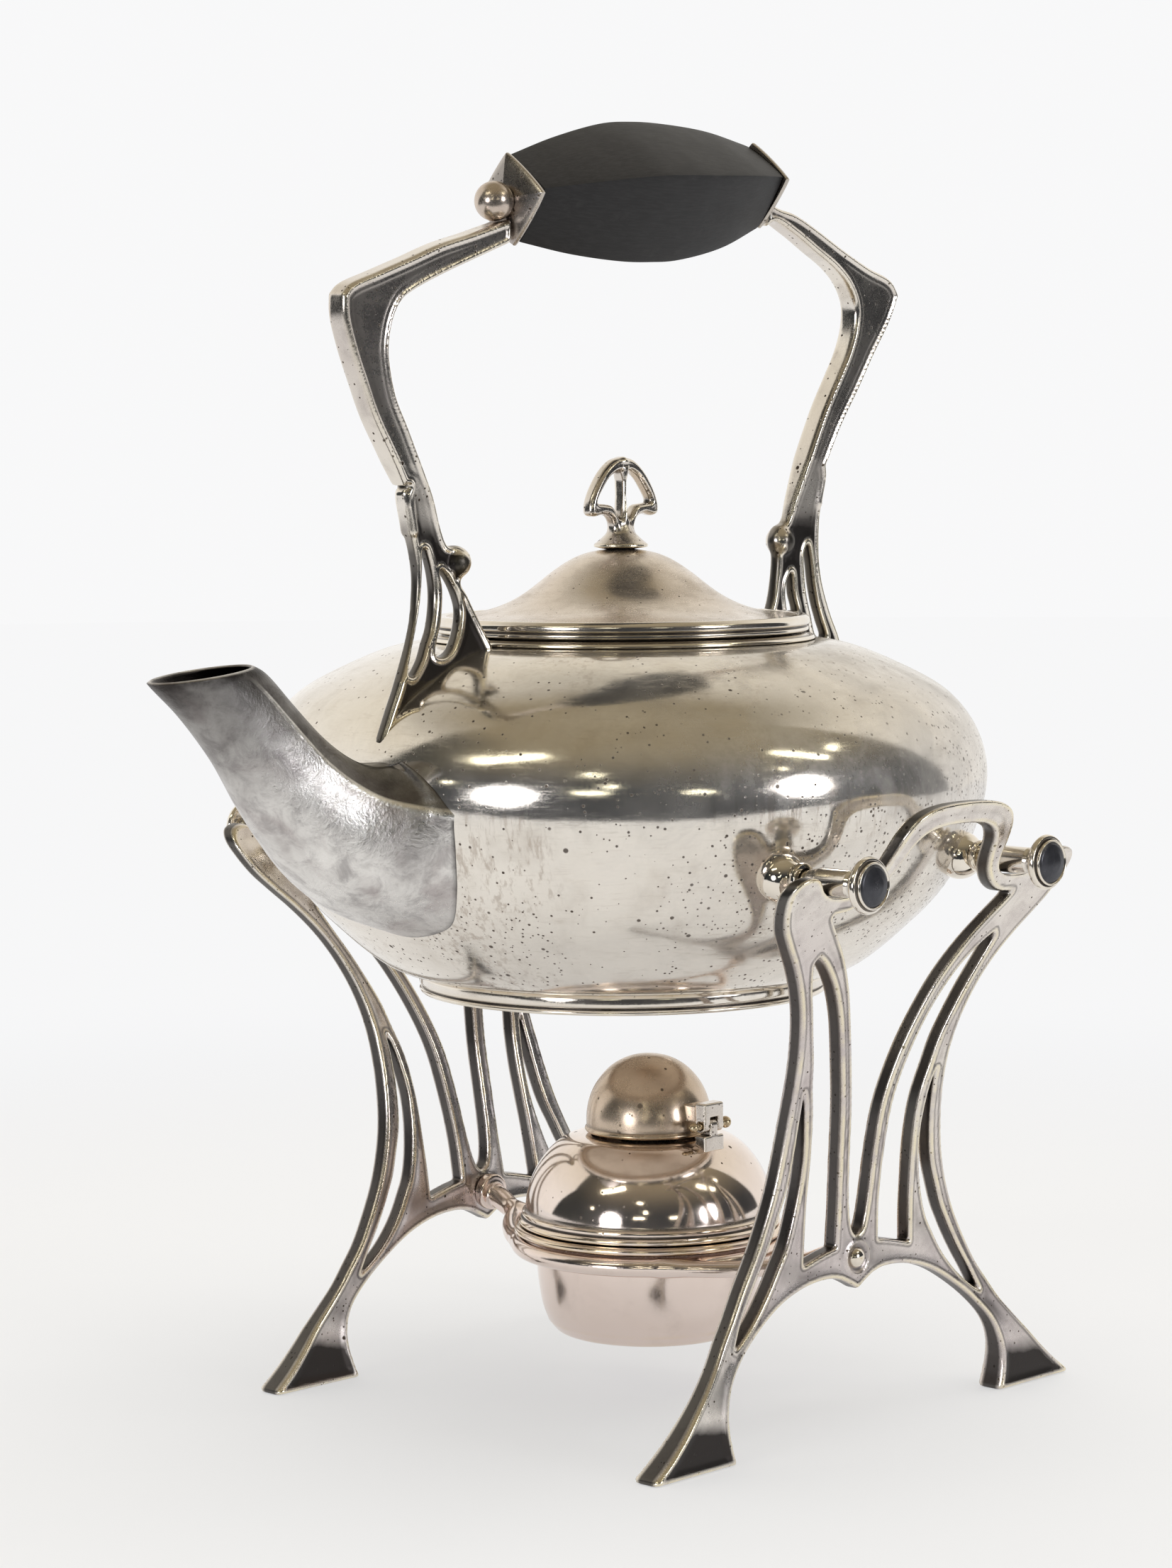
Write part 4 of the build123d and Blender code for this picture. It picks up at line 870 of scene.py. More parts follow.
def spout():
    st = catmull(SPOUT, 16)
    n = 168
    loop, k_right = shield_loop(n)
    ang = np.arctan2(loop[:, 1], loop[:, 0])

    def ring(p, grow):
        x, z, tilt, hh, hw, rnd = p
        hh, hw, t = hh + grow, hw + grow, math.radians(tilt)
        u = ((1 - rnd) * loop[:, 0] + rnd * np.cos(ang)) * hw
        w = ((1 - rnd) * loop[:, 1] + rnd * np.sin(ang)) * hh
        return np.stack([x + w * sin(t), u, z + w * cos(t)], 1)

    outer = np.array([ring(p, 0.0) for p in st])
    # start each line where it leaves the body's skin
    m = len(st)
    lines = []
    for k in range(n):
        L = outer[:, k]
        depth = body_depth(L[:, 0], L[:, 1], L[:, 2]) + 0.35
        i = int(np.max(np.nonzero(depth < 0)[0])) if (depth < 0).any() else 0
        if i + 1 < m:
            startp = i - depth[i] / (depth[i + 1] - depth[i] + 1e-9)
        else:
            startp = i
        u = np.linspace(0, 1, 110) * (m - 1 - startp) + startp
        j = np.clip(u.astype(int), 0, m - 2)
        w = (u - j)[:, None]
        lines.append(L[j] * (1 - w) + L[j + 1] * w)
    O = np.array(lines).transpose(1, 0, 2)
    I = np.array([ring(p, -1.5) for p in st[-70:]])[::-1]
    mid = (O[-1] + I[0]) / 2 + np.array([-0.2, 0, 0.45])
    rings = np.concatenate([O, mid[None], I])
    R = len(rings)
    vv = rings.reshape(-1, 3)
    idx = np.arange(R * n).reshape(R, n)
    nx = (np.arange(n) + 1) % n
    q = np.concatenate([np.stack([idx[i], idx[i + 1], idx[i + 1][nx], idx[i][nx]], 1) for i in range(R - 1)])
    # close both ends so that the casting is one solid skin
    start = O[0].mean(0)
    start[0] = -88.0
    vv = np.concatenate([vv, [vv[idx[-1]].mean(0)], [start]])
    t = np.concatenate([np.stack([idx[-1], np.full(n, R * n), idx[-1][nx]], 1), np.stack([idx[0], idx[0][nx], np.full(n, R * n + 1)], 1)])
    rows = np.repeat(np.arange(R), n)
    dist = np.linalg.norm(np.diff(O, axis=0), axis=2)
    run = np.zeros(R * n)
    run[:110 * n] = np.concatenate([np.zeros((1, n)), np.cumsum(dist, 0)]).ravel()
    out_ = rows < 110
    kk = np.tile(np.arange(n), R)
    off = np.minimum(np.abs(kk - k_right), np.minimum(kk, n - kk))
    sharp_ = np.clip(1 - np.repeat(np.arange(R), n) / 110.0, 0, 1) ** 0.5 * out_
    roof_dark_reflection = (kk > k_right + 1) & out_
    dark = np.where(out_, np.clip(1.35 - run / 1.0, 0, 1), 0)
    tip = np.clip((rows - 58) / 50.0, 0, 1) * out_
    dark = np.maximum(dark, tip * 0.72)
    # painted dark reflection: the spout's roof is darkened where it mirrors the dark room
    dark = np.maximum(dark, roof_dark_reflection * 0.52)
    dark[rows >= 111] = 0.85
    # painted highlight: a light line along both ridges of the spout, fading towards the mouth
    edge = np.where(off <= 1, 1.0, 0.0) * sharp_ * np.clip((110 - rows) / 30.0, 0, 1)
    dark = np.where(edge > 0.3, 0.0, dark)
    return vv, q, t, {"dark": np.append(dark, [1, 0]), "edge": np.append(edge, [0, 0])}


v, q, t, at = spout()
o = new_mesh("spout_casting", v, q, t, at, sharp=75)
fix_normals(o)
put(o, "kettle", "silver_satin", M_SPOUT, "kettle_spout")

# ----------------------------------------------------------- handle castings
# outlines in the plane of the handle; a third number marks a corner
FRONT = [(-101.8, 283.1, 1), (-99.3, 285.4), (-90.3, 288.7), (-80.2, 292.2), (-70.2, 295.8), (-60.2, 298.5), (-50.2, 301.4),
         (-46.4, 302.5, 1), (-46.4, 296.7, 1), (-56.0, 293.2), (-70.2, 288.0), (-79.2, 284.1), (-82.6, 281.9), (-85.2, 277.9), (-86.6, 271.4),
         (-86.0, 266.0), (-83.9, 259.0), (-79.9, 251.9), (-75.4, 243.6), (-70.2, 234.7), (-67.1, 227.5), (-64.4, 222.8),
         (-60.4, 222.4), (-57.0, 219.4), (-58.4, 216.0), (-59.7, 213.6), (-57.7, 210.9), (-55.0, 206.9), (-51.8, 202.4), (-48.6, 197.9), (-47.3, 196.1, 1),
         (-46.4, 190.0, 1), (-58.0, 183.0), (-68.0, 177.0), (-77.0, 169.5, 1), (-86.4, 171.0, 1),
         (-84.6, 176.3), (-83.5, 178.9), (-81.8, 183.1), (-79.6, 188.2), (-77.7, 193.7), (-76.0, 199.7), (-74.9, 204.8), (-74.4, 210.8), (-74.5, 216.0),
         (-75.6, 221.2), (-77.2, 225.9), (-78.9, 231.1), (-79.5, 234.6), (-78.6, 237.6), (-80.3, 237.4, 1), (-86.0, 246.0), (-91.1, 253.8), (-95.5, 262.7),
         (-98.9, 270.1), (-101.6, 278.1)]
FRONT_HOLES = [[(-72.8, 222.0), (-72.8, 217.0), (-72.9, 212.7), (-73.4, 207.6), (-74.4, 202.0), (-75.7, 196.5), (-76.3, 191.7), (-75.0, 191.2),
                (-72.3, 194.6), (-70.8, 198.8), (-69.5, 202.2), (-68.8, 206.5), (-68.7, 210.8), (-69.4, 215.2), (-70.8, 219.5), (-72.0, 221.9)],
               [(-66.8, 216.8), (-65.9, 212.5), (-65.8, 208.2), (-66.1, 203.8), (-67.2, 199.6), (-67.5, 196.1), (-65.2, 195.5), (-62.6, 196.7),
                (-60.9, 199.7), (-59.9, 203.6), (-59.9, 207.1), (-61.3, 210.6), (-63.3, 213.7), (-65.3, 215.9)]]
BALL_F = (-60.4, 218.5, 3.8)
REAR = [(103.4, 287.2, 1), (100.0, 291.0), (90.4, 294.3), (79.3, 298.9), (68.1, 304.0), (59.3, 307.5), (53.2, 308.7), (48.4, 310.4, 1),
        (48.4, 303.6, 1), (51.2, 305.2), (59.3, 302.2), (68.1, 297.8), (77.0, 293.2), (82.4, 288.8), (85.3, 283.8), (85.3, 278.2),
        (83.1, 271.6), (79.3, 265.0), (74.6, 257.1), (70.2, 248.1), (66.9, 240.5), (63.5, 231.7), (61.4, 226.1),
        (58.4, 224.6), (57.0, 221.0), (58.2, 217.4), (58.0, 211.0), (56.8, 204.4), (54.6, 199.6), (52.6, 196.6, 1),
        (49.0, 191.0, 1), (60.0, 186.0), (70.0, 180.0), (80.0, 171.5, 1), (89.0, 173.5, 1),
        (88.2, 180.0), (86.6, 189.0), (84.4, 194.8), (81.4, 199.8), (78.7, 205.0), (76.4, 210.8), (75.2, 216.4), (74.8, 222.2), (74.9, 227.0), (75.2, 231.3),
        (75.9, 235.6), (76.1, 238.4), (75.4, 241.2, 1), (77.6, 245.4), (81.2, 251.8), (88.0, 261.8), (93.6, 270.6), (100.3, 280.4)]
REAR_HOLES = [[(70.2, 219.9), (71.7, 215.6), (72.9, 209.8), (74.7, 204.0), (76.9, 199.1), (78.9, 194.6), (75.0, 195.3), (72.5, 201.2), (70.4, 207.0), (69.4, 212.3), (69.0, 217.6)],
              [(63.9, 212.5), (65.1, 206.7), (66.8, 201.6), (63.6, 201.4), (62.0, 206.0), (62.2, 210.1)]]
BALL_R = (60.6, 221.0, 3.8)


def corner_spline(pts, n=5, sharp_at=()):
    """Closed smooth outline that keeps the corners whose index is given."""
    p = [np.array(a, float) for a in pts]
    m = len(p)
    marks = sorted(sharp_at)
    if not marks:
        return catmull(p, n, closed=True)
    out = []
    for k in range(len(marks)):
        i, j = marks[k], marks[(k + 1) % len(marks)]
        run = [p[t % m] for t in range(i, (j if j > i else j + m) + 1)]
        c = catmull(run, n) if len(run) > 2 else np.array(run)
        out.append(c[:-1])
    return np.concatenate(out)


def handle_casting(outline, holes, ball, lobe, push, z_thin):
    h = 0.40
    sharp_at = [i for i, p in enumerate(outline) if len(p) > 2]
    pts = [p[:2] for p in outline]
    xs_ = [p[0] for p in pts]
    x0, x1 = min(xs_) - 1.6, max(xs_) + 1.6
    gx, gy, gz = np.arange(x0, x1, h), np.arange(-5.6, 5.61, h), np.arange(168.5, max(p[1] for p in pts) + 1.6, h)
    out = corner_spline(pts, 5, sharp_at)
    hol = [catmull(k, 5, closed=True) for k in holes]
    d = region_depth(gx, gz, out, hol, 6.0)
    X, Y, Z = [a.astype(np.float32) for a in np.meshgrid(gx, gy, gz, indexing="ij")]
    D = np.repeat(d[:, None, :], len(gy), 1).astype(np.float32)
    # raised lines follow the edges, the field between them is sunk; the openwork
    # bracket is lighter than the arm that grows out of it
    thick = np.interp(Z, [z_thin, z_thin + 16.0], [1.35, 2.70])
    H = thick + 0.70 * bump((D - 0.95) / 0.85) + 0.25 * bump((D - 2.5) / 0.6)
    f = round_and(np.abs(Y) - H, -D, 0.6)
    ballf = np.sqrt((X - ball[0]) ** 2 + Y ** 2 + (Z - ball[1]) ** 2) - (ball[2] + 0.15)
    f = soft_or(f, ballf, 0.7)
    # the bracket's outer rib ends in a rounded lobe that lies over the arm
    (ax, az), (bx_, bz_), rad = lobe
    a, b = np.array([ax, az]), np.array([bx_, bz_])
    cap = round_and(seg_dist(X, Z, a, b) - rad, np.abs(Y) - 2.3, 1.3)
    f = soft_or(f, cap, 0.35)

    def pushed(x, y, z):
        t = push * np.clip((214.0 - z) / 24.0, 0, 1)
        t = t * t / max(push, 1e-6) if push else t
        t = t * (1 + 0.22 * np.clip((-x - 62.0) / 22.0, 0, 1))
        return x - 0.72 * t, y - 0.69 * t, z + 0.087 * t

    # the foot of the casting follows the body's skin
    px, py, pz = pushed(X, Y, Z)
    yy = py * cos(LEAN) - (pz - LEAN_Z) * sin(LEAN)
    zz = LEAN_Z + py * sin(LEAN) + (pz - LEAN_Z) * cos(LEAN)
    out_of = body_depth(px, yy, zz)
    f = np.maximum(f, np.where(zz < 197.2, -(out_of + 0.5), -9.0))
    f = np.maximum(f, np.where(zz < 203.8, 49.9 - np.hypot(px, yy), -9.0))
    f = blur(f, 1)

    def marks(v, at):
        dd = sample(D, [gx[0], gy[0], gz[0]], h, v)
        low = np.clip((z_thin + 4 - v[:, 2]) / 10, 0, 1)
        field = np.clip((dd - 1.7) / 0.7, 0, 1) * np.clip((np.abs(v[:, 1]) - 0.8) / 0.5, 0, 1)
        at["dark"] = np.clip(at["dark"] + field * (0.25 + 0.55 * low), 0, 1)
        # painted highlight: a light line along the rims of the openwork bracket
        rim_ = np.clip(1 - np.abs(dd - 1.0) / 0.8, 0, 1) * low * (np.abs(v[:, 1]) > 1.2)
        at["edge"] = np.clip(at["edge"] + 0.6 * rim_, 0, 1)
        # painted dark reflection: the wall attribute marks the bracket's side walls, which are painted near-black
        at["wall"] = low * np.clip((0.75 - dd) / 0.4, 0, 1) * np.clip((1.5 - np.abs(v[:, 1])) / 0.5, 0, 1)
        return at

    return cast("h", f, [gx[0], gy[0], gz[0]], h, marks=marks, smooth=2, warp=lambda v: np.stack(pushed(v[:, 0], v[:, 1], v[:, 2]), 1))


v, q, at = handle_casting(FRONT, FRONT_HOLES, BALL_F, ((-78.3, 235.6), (-76.2, 226.5), 1.6), 6.0, 227.0)
put(new_mesh("handle_arm_front", v, q, attrs=at, leaned=True), "kettle", "silver_satin", M_CAST, "handle_casting_front")
v, q, at = handle_casting(REAR, REAR_HOLES, BALL_R, ((74.5, 239.2), (73.9, 231.0), 1.6), 0.0, 227.0)
put(new_mesh("handle_arm_rear", v, q, attrs=at, leaned=True), "kettle", "silver_satin", M_CAST, "handle_casting_rear")


# ----------------------------------------------------- grip, ferrules and nut
def squares(name, loops, mat, node, slot, p=1.14, n=96, turn=0.0, sharp=35, edge_on=0.6):
    """Loft of square-on-edge loops (x, centre y, centre z, half diagonal) along X."""
    a = np.arange(n) * 2 * pi / n
    c, s = np.cos(a), np.sin(a)
    w = math.radians(turn)
    cu = np.sign(c) * np.abs(c) ** (2 / p)
    su = np.sign(s) * np.abs(s) ** (2 / p)
    cu, su = cu * cos(w) - su * sin(w), cu * sin(w) + su * cos(w)
    v = np.concatenate([np.stack([np.full(n, x), cy + cu * half, cz + su * half], 1) for x, cy, cz, half in loops])
    R = len(loops)
    idx = np.arange(R * n).reshape(R, n)
    nx = (np.arange(n) + 1) % n
    q = np.concatenate([np.stack([idx[i], idx[i][nx], idx[i + 1][nx], idx[i + 1]], 1) for i in range(R - 1)])
    v = np.concatenate([v, [loops[0][:3], loops[-1][:3]]])
    t = np.concatenate([np.stack([idx[0], np.full(n, R * n), idx[0][nx]], 1), np.stack([idx[-1], idx[-1][nx], np.full(n, R * n + 1)], 1)])
    sizes = np.array([L[3] for L in loops])
    # painted highlight: the widest loops and the corners get the edge mark, a light line along the rims
    edge = np.repeat((sizes >= sizes.max() - 0.4).astype(float), n)
    corner = np.tile((np.abs(np.abs(c) - np.abs(s)) > 0.985).astype(float), R)
    dark = np.repeat((sizes < sizes.max() * 0.84).astype(float), n) * 0.25
    ed = np.clip(edge * edge_on + 0.5 * corner, 0, 1)
    o = new_mesh(name, v, q, t, {"dark": np.append(dark, [0.3, 0]), "edge": np.append(ed, [0, 0])}, sharp, leaned=True)
    fix_normals(o)
    return put(o, "kettle", slot, mat, node)


X0, X1 = -43.2, 45.2


def grip():
    gx = np.array([X0, -26.0, -8.0, 2.0, 12.0, 30.0, X1])
    gh = np.array([10.8, 14.9, 17.75, 18.15, 17.85, 15.3, 10.8])
    gz = np.array([307.5, 309.0, 310.5, 311.0, 311.4, 312.7, 314.1])
    loops = [(X0, 0.0, 307.5, 10.3)]
    for x, hh, z in catmull(np.stack([gx, gh, gz], 1), 12):
        loops.append((min(max(x, X0 + 0.2), X1 - 0.2), 0.0, z, min(hh, 18.15)))
    loops.append((X1, 0.0, 314.1, 10.3))
    return loops


squares("grip_wood", grip(), M_WOOD, "handle_grip", "ebonised_wood", p=1.10, n=192, turn=-13.0, sharp=40)
squares("ferrule_front_plate", [(X0 - 3.2, 0, 307.4, 4.0), (X0 - 2.75, 0, 307.4, 6.4), (X0 - 2.2, 0, 307.4, 8.9), (X0 - 1.8, 0, 307.4, 10.6), (X0 - 1.5, 0, 307.4, 11.25),
                                (X0 - 1.1, 0, 307.4, 11.45), (X0 - 0.5, 0, 307.4, 11.45), (X0 - 0.1, 0, 307.4, 11.2)],
        M_FERRULE, "handle_ferrule_front", "silver_plate", p=1.10, turn=-8.0)
squares("ferrule_rear_plate", [(X1 + 0.1, -0.6, 314.4, 10.9), (X1 + 0.5, -0.6, 314.4, 11.15), (X1 + 1.1, -0.6, 314.4, 11.15), (X1 + 1.6, -0.6, 314.4, 10.8),
                               (X1 + 2.0, -0.6, 314.4, 9.8), (X1 + 2.6, -0.6, 314.4, 7.4), (X1 + 3.1, -0.6, 314.4, 4.6)],
        M_FERRULE, "handle_ferrule_rear", "silver_plate", p=1.10, turn=-8.0)


def ball_nut():
    r = 4.9
    ang = np.linspace(-pi / 2, math.asin(3.4 / r), 30)
    arc = [(r * cos(t), r * sin(t)) for t in ang]
    prof = arc + [(0.0, 3.4)]
    prof[0] = (0.0, -r)
    p = densify(np.array(prof, float), 0.5)
    seg = 96
    a = np.arange(seg) * 2 * pi / seg
    on = p[:, 0] < 1e-6
    # along the rod, which climbs slightly towards +X
    ax = np.array([98.4, 0, 6.9]); ax /= np.linalg.norm(ax)
    e1 = np.array([0, 1.0, 0])
    e2 = np.cross(ax, e1)
    base = np.array([-49.9, 0, 306.7])
    verts, tris, quads = [], [], []
    rows = []
    k = 0
    for (rr, zz) in p:
        if rr < 1e-6:
            verts.append((base + ax * zz)[None]); rows.append(np.full(seg, k)); k += 1
        else:
            verts.append(base + ax * zz + rr * (np.cos(a)[:, None] * e1 + np.sin(a)[:, None] * e2)); rows.append(k + np.arange(seg)); k += seg
    nx = (np.arange(seg) + 1) % seg
    for i in range(len(p) - 1):
        A, B = rows[i], rows[i + 1]
        if on[i]:
            tris.append(np.stack([A, B, B[nx]], 1))
        elif on[i + 1]:
            tris.append(np.stack([A, B, A[nx]], 1))
        else:
            quads.append(np.stack([A, B, B[nx], A[nx]], 1))
    v = np.concatenate(verts)
    q, t = np.concatenate(quads), np.concatenate(tris)
    o = new_mesh("grip_ball_nut", v, q, t, {"dark": np.zeros(len(v)), "edge": np.zeros(len(v))}, 40, leaned=True)
    fix_normals(o)
    put(o, "kettle", "silver_plate", M_BALL, "handle_ball_nut")


ball_nut()

# --------------------------------------------------------------- trunnions
PIN_Z, PIN_F, PIN_R = 144.2, -32.5, 35.5


def arc_pts(cx, cy, r, a0, a1, n=14):
    return [(cx + r * cos(math.radians(a0 + (a1 - a0) * k / n)), cy + r * sin(math.radians(a0 + (a1 - a0) * k / n))) for k in range(n + 1)]


def along_y(name, outline, x, side, step=0.4, seg=96):
    """Turned about the Y axis; z of the outline is the distance from Y = 0."""
    p = densify(np.asarray(outline, float), step)
    area = 0.5 * np.sum(p[:, 0] * np.roll(p[:, 1], -1) - np.roll(p[:, 0], -1) * p[:, 1])
    if area < 0:
        p = p[::-1]
    dark, edge = shape_marks(p, reach=0.6)
    a = np.arange(seg) * 2 * pi / seg
    on = p[:, 0] < 1e-6
    verts, rows, k, da, ed = [], [], 0, [], []
    for i, (r, y) in enumerate(p):
        if on[i]:
            verts.append(np.array([[x, side * y, PIN_Z]])); rows.append(np.full(seg, k)); k += 1
            da.append([dark[i]]); ed.append([edge[i]])
        else:
            verts.append(np.stack([x + r * np.cos(a), np.full(seg, side * y), PIN_Z + r * np.sin(a)], 1)); rows.append(k + np.arange(seg)); k += seg
            da.append(np.full(seg, dark[i])); ed.append(np.full(seg, edge[i]))
    quads, tris = [], []
    nx = (np.arange(seg) + 1) % seg
    n = len(p)
    for i in range(n):
        j = (i + 1) % n
        A, B = rows[i], rows[j]
        if on[i] and on[j]:
            continue
        if on[i]:
            tris.append(np.stack([A, B, B[nx]], 1))
        elif on[j]:
            tris.append(np.stack([A, B, A[nx]], 1))
        else:
            quads.append(np.stack([A, B, B[nx], A[nx]], 1))
    return np.concatenate(verts), np.concatenate(quads), (np.concatenate(tris) if tris else np.zeros((0, 3), int)), np.concatenate(da), np.concatenate(ed)


def join(parts):
    V, Q, T, D, E, n = [], [], [], [], [], 0
    for v, q, t, d, e in parts:
        V.append(v); Q.append(q + n); T.append(t + n); D.append(d); E.append(e); n += len(v)
    return np.concatenate(V), np.concatenate(Q), np.concatenate(T), {"dark": np.concatenate(D), "edge": np.concatenate(E)}


def pin_outline(shank):
    return fillets([(0, 85.0), (shank, 85.0, 0), (shank, 91.6, 0), (shank + 0.35, 92.0, 0.3), (3.05, 94.5, 0.4), (3.3, 95.3, 0.5), (3.3, 104.6, 0.4), (2.9, 105.6, 0.4), (2.75, 107.2, 0.3),
                    (3.6, 108.3, 0.4), (5.6, 108.6, 0.4), (6.5, 108.8, 0.45), (6.9, 109.5, 0.55), (6.6, 110.5, 0.4), (6.0, 110.6, 0.2), (5.75, 110.3, 0.15), (5.55, 110.6, 0.2), (5.7, 111.4, 0.3), (5.35, 111.75, 0.22),
                    (4.95, 111.3, 0.15), (4.9, 110.9, 0), (0, 110.9)])


def cap_disc_outline():
    return fillets([(0, 110.9), (5.0, 110.9, 0), (5.02, 111.35, 0.15), (4.4, 111.7, 0.6), (2.6, 112.1, 2.0), (1.0, 112.25, 1.0), (0, 112.28)])


def boss_outline():
    ball = arc_pts(0, 82.6, 6.1, -50, 59, 22)
    return [(0, 77.6), (3.4, 77.6)] + ball + list(fillets([(3.1, 87.7), (3.1, 88.0, 0.1), (3.9, 88.3, 0.2), (4.1, 89.2, 0.3),
                                                          (3.9, 90.2, 0.3), (2.75, 90.3, 0.1)], closed=False)) + [(2.7, 84.9), (0, 84.9)]


for tag, x, shank, body, node, inode in (("front", PIN_F, 2.3, "front_trunnions", "front_trunnion_pins", "front_trunnion_inlays"),
                                         ("rear", PIN_R, 2.6, "kettle", "rear_trunnion_pins", "rear_trunnion_inlays")):
    v, q, t, at = join([along_y("p", pin_outline(shank), x, s) for s in (-1, 1)])
    o = new_mesh("trunnion_pins_" + tag, v, q, t, at, 40)
    fix_normals(o)
    put(o, body, "silver_plate", M_RING, node)
    # the cap faces carry the painted dark reflection
    v, q, t, at = join([along_y("p", cap_disc_outline(), x, s) for s in (-1, 1)])
    o = new_mesh("trunnion_dark_faces_" + tag, v, q, t, at, 50)
    fix_normals(o)
    put(o, body, "dark_inlay", M_DARK_DISC, inode)
v, q, t, at = join([along_y("p", boss_outline(), x, s) for s in (-1, 1) for x in (PIN_F, PIN_R)])
o = new_mesh("boss_balls", v, q, t, at, 40)
fix_normals(o)
put(o, "kettle", "silver_plate", M_BRIGHT, "trunnion_bosses")

# ------------------------------------------------------------- stand frames
FLARE = np.array([(0, 67.2), (5, 67.6), (10, 67.9), (15, 68.0), (20, 67.6), (25, 66.9), (30, 66.4), (35, 66.1),
                  (42, 66.2), (50, 66.9), (57, 67.7), (65, 68.9), (73, 70.3), (83, 72.4), (92, 74.9), (101, 77.9),
                  (110, 81.4), (117, 84.4), (124, 87.8), (130, 90.9), (136, 94.2), (140, 96.6), (145, 99.9),
                  (150, 103.4), (155, 106.6), (160, 109.2), (165, 111.2)], float)
HALF_T = np.array([(0, 4.3), (5, 4.0), (10, 3.5), (16, 2.9), (24, 2.5), (165, 2.5)], float)
ARCH = [(3, 37), (6, 38.5), (10, 39.4), (18.5, 39), (28, 36.3), (36, 32), (45, 25.3), (51, 18.5), (53.3, 11), (52.7, 5), (51.3, 0)]
OUTER = [(80.6, 0), (80.2, 1.4), (75, 5.2), (69.5, 10), (64.5, 15), (59.5, 20), (55, 25), (51.3, 30), (47.5, 35),
         (43.2, 42), (38.5, 50), (35.3, 57), (32.5, 65), (30.8, 73), (29.6, 83), (29.3, 92), (30.4, 101),
         (33.2, 110), (36.8, 117), (41.6, 123.5), (46.6, 129), (50.2, 133.3), (52.6, 138.2), (53.5, 142),
         (52.4, 144.8), (49.6, 146.2), (47.0, 146.3), (44.3, 145.0), (42.0, 142.8), (39.2, 141.2),
         (36.0, 140.5), (31.0, 140.5), (27.5, 141.0), (24.5, 142.6), (22.8, 145.0), (22.2, 147.2),
         (21.4, 151.0), (20.3, 155.0), (18.0, 158.2), (14.0, 160.2), (8.0, 161.3), (0, 161.6)]
SLOT = [(47.6, 27.6), (44.5, 33.4), (41.5, 38), (38, 43.5), (35.3, 48), (33, 52), (30.5, 58), (27.8, 65),
        (26.1, 75), (25.5, 85), (25.6, 89.6), (24.4, 86.5), (23.2, 80), (22.5, 72), (23.6, 62), (26.8, 51),
        (29.8, 46), (33.8, 40), (39.2, 34), (44.5, 29.6)]
WINDOW = [(20.4, 44.6), (20.2, 52), (20.0, 60), (19.8, 68), (19.9, 76), (20.8, 84), (22.6, 91), (24.2, 98),
          (26.6, 104.5), (29.2, 111), (32.4, 118), (34.6, 123.6), (33.6, 125.0), (30.2, 122.8), (24.2, 117),
          (19.6, 110.3), (16.9, 105), (13.1, 95), (10.1, 84), (8.7, 71), (8.0, 58), (8.2, 47.3), (13, 46.4)]
VGAP = [(0, 49.4), (1.6, 50.4), (2.7, 53), (3.6, 58), (4.1, 63), (4.7, 71), (6.0, 83), (9.1, 95), (13.2, 106),
        (18.0, 116), (24.0, 124.5), (29.6, 130.5), (33.4, 134.4), (34.2, 135.6), (32.4, 135.9), (29.4, 136.2),
        (26.0, 137.5), (22.4, 139.9), (19.2, 143.4), (17.2, 147.4), (15.8, 151.2), (13.4, 153.8),
        (9.6, 155.3), (5.0, 155.9), (0, 156.1)]


def frame_field():
    """One frame, flat and upright: x from its centreline, z up, y across."""
    h = 0.48
    gx, gy, gz = np.arange(0.0 - 3 * h, 82.4, h), np.arange(-4.0, 4.01, h * 0.92), np.arange(-1.5, 163.2, h)
    right = [(0, 35.3)] + ARCH + OUTER
    k_arch = len(ARCH)
    half = np.concatenate([
        catmull([(-3, 37), (0, 35.3)], 1)[1:2], catmull([(0, 35.3), (3, 37), (6, 38.5)], 4)[:-1], catmull([(6, 38.5)] + ARCH[2:], 5),
        catmull([(80.6, 0), (80.2, 1.4)], 1)[:-1], catmull(OUTER[1:], 5)])
    out = np.concatenate([half, (half * [-1, 1])[::-1]])
    keep = np.concatenate([[True], np.linalg.norm(np.diff(out, axis=0), axis=1) > 1e-6])
    out = out[keep]
    slot_ = corner_spline(SLOT, 4, (0, 10))
    window = corner_spline(WINDOW, 4, (0, 11, 12, 21))
    vh = catmull(VGAP, 4)
    vgap = np.concatenate([vh, (vh * [-1, 1])[::-1][1:-1]])
    holes = [slot_, window, vgap]
    d = region_depth(gx, gz, out, holes, 7.0)
    return gx, gy, gz, d, h


fgx, fgy, fgz, fd, fh = frame_field()


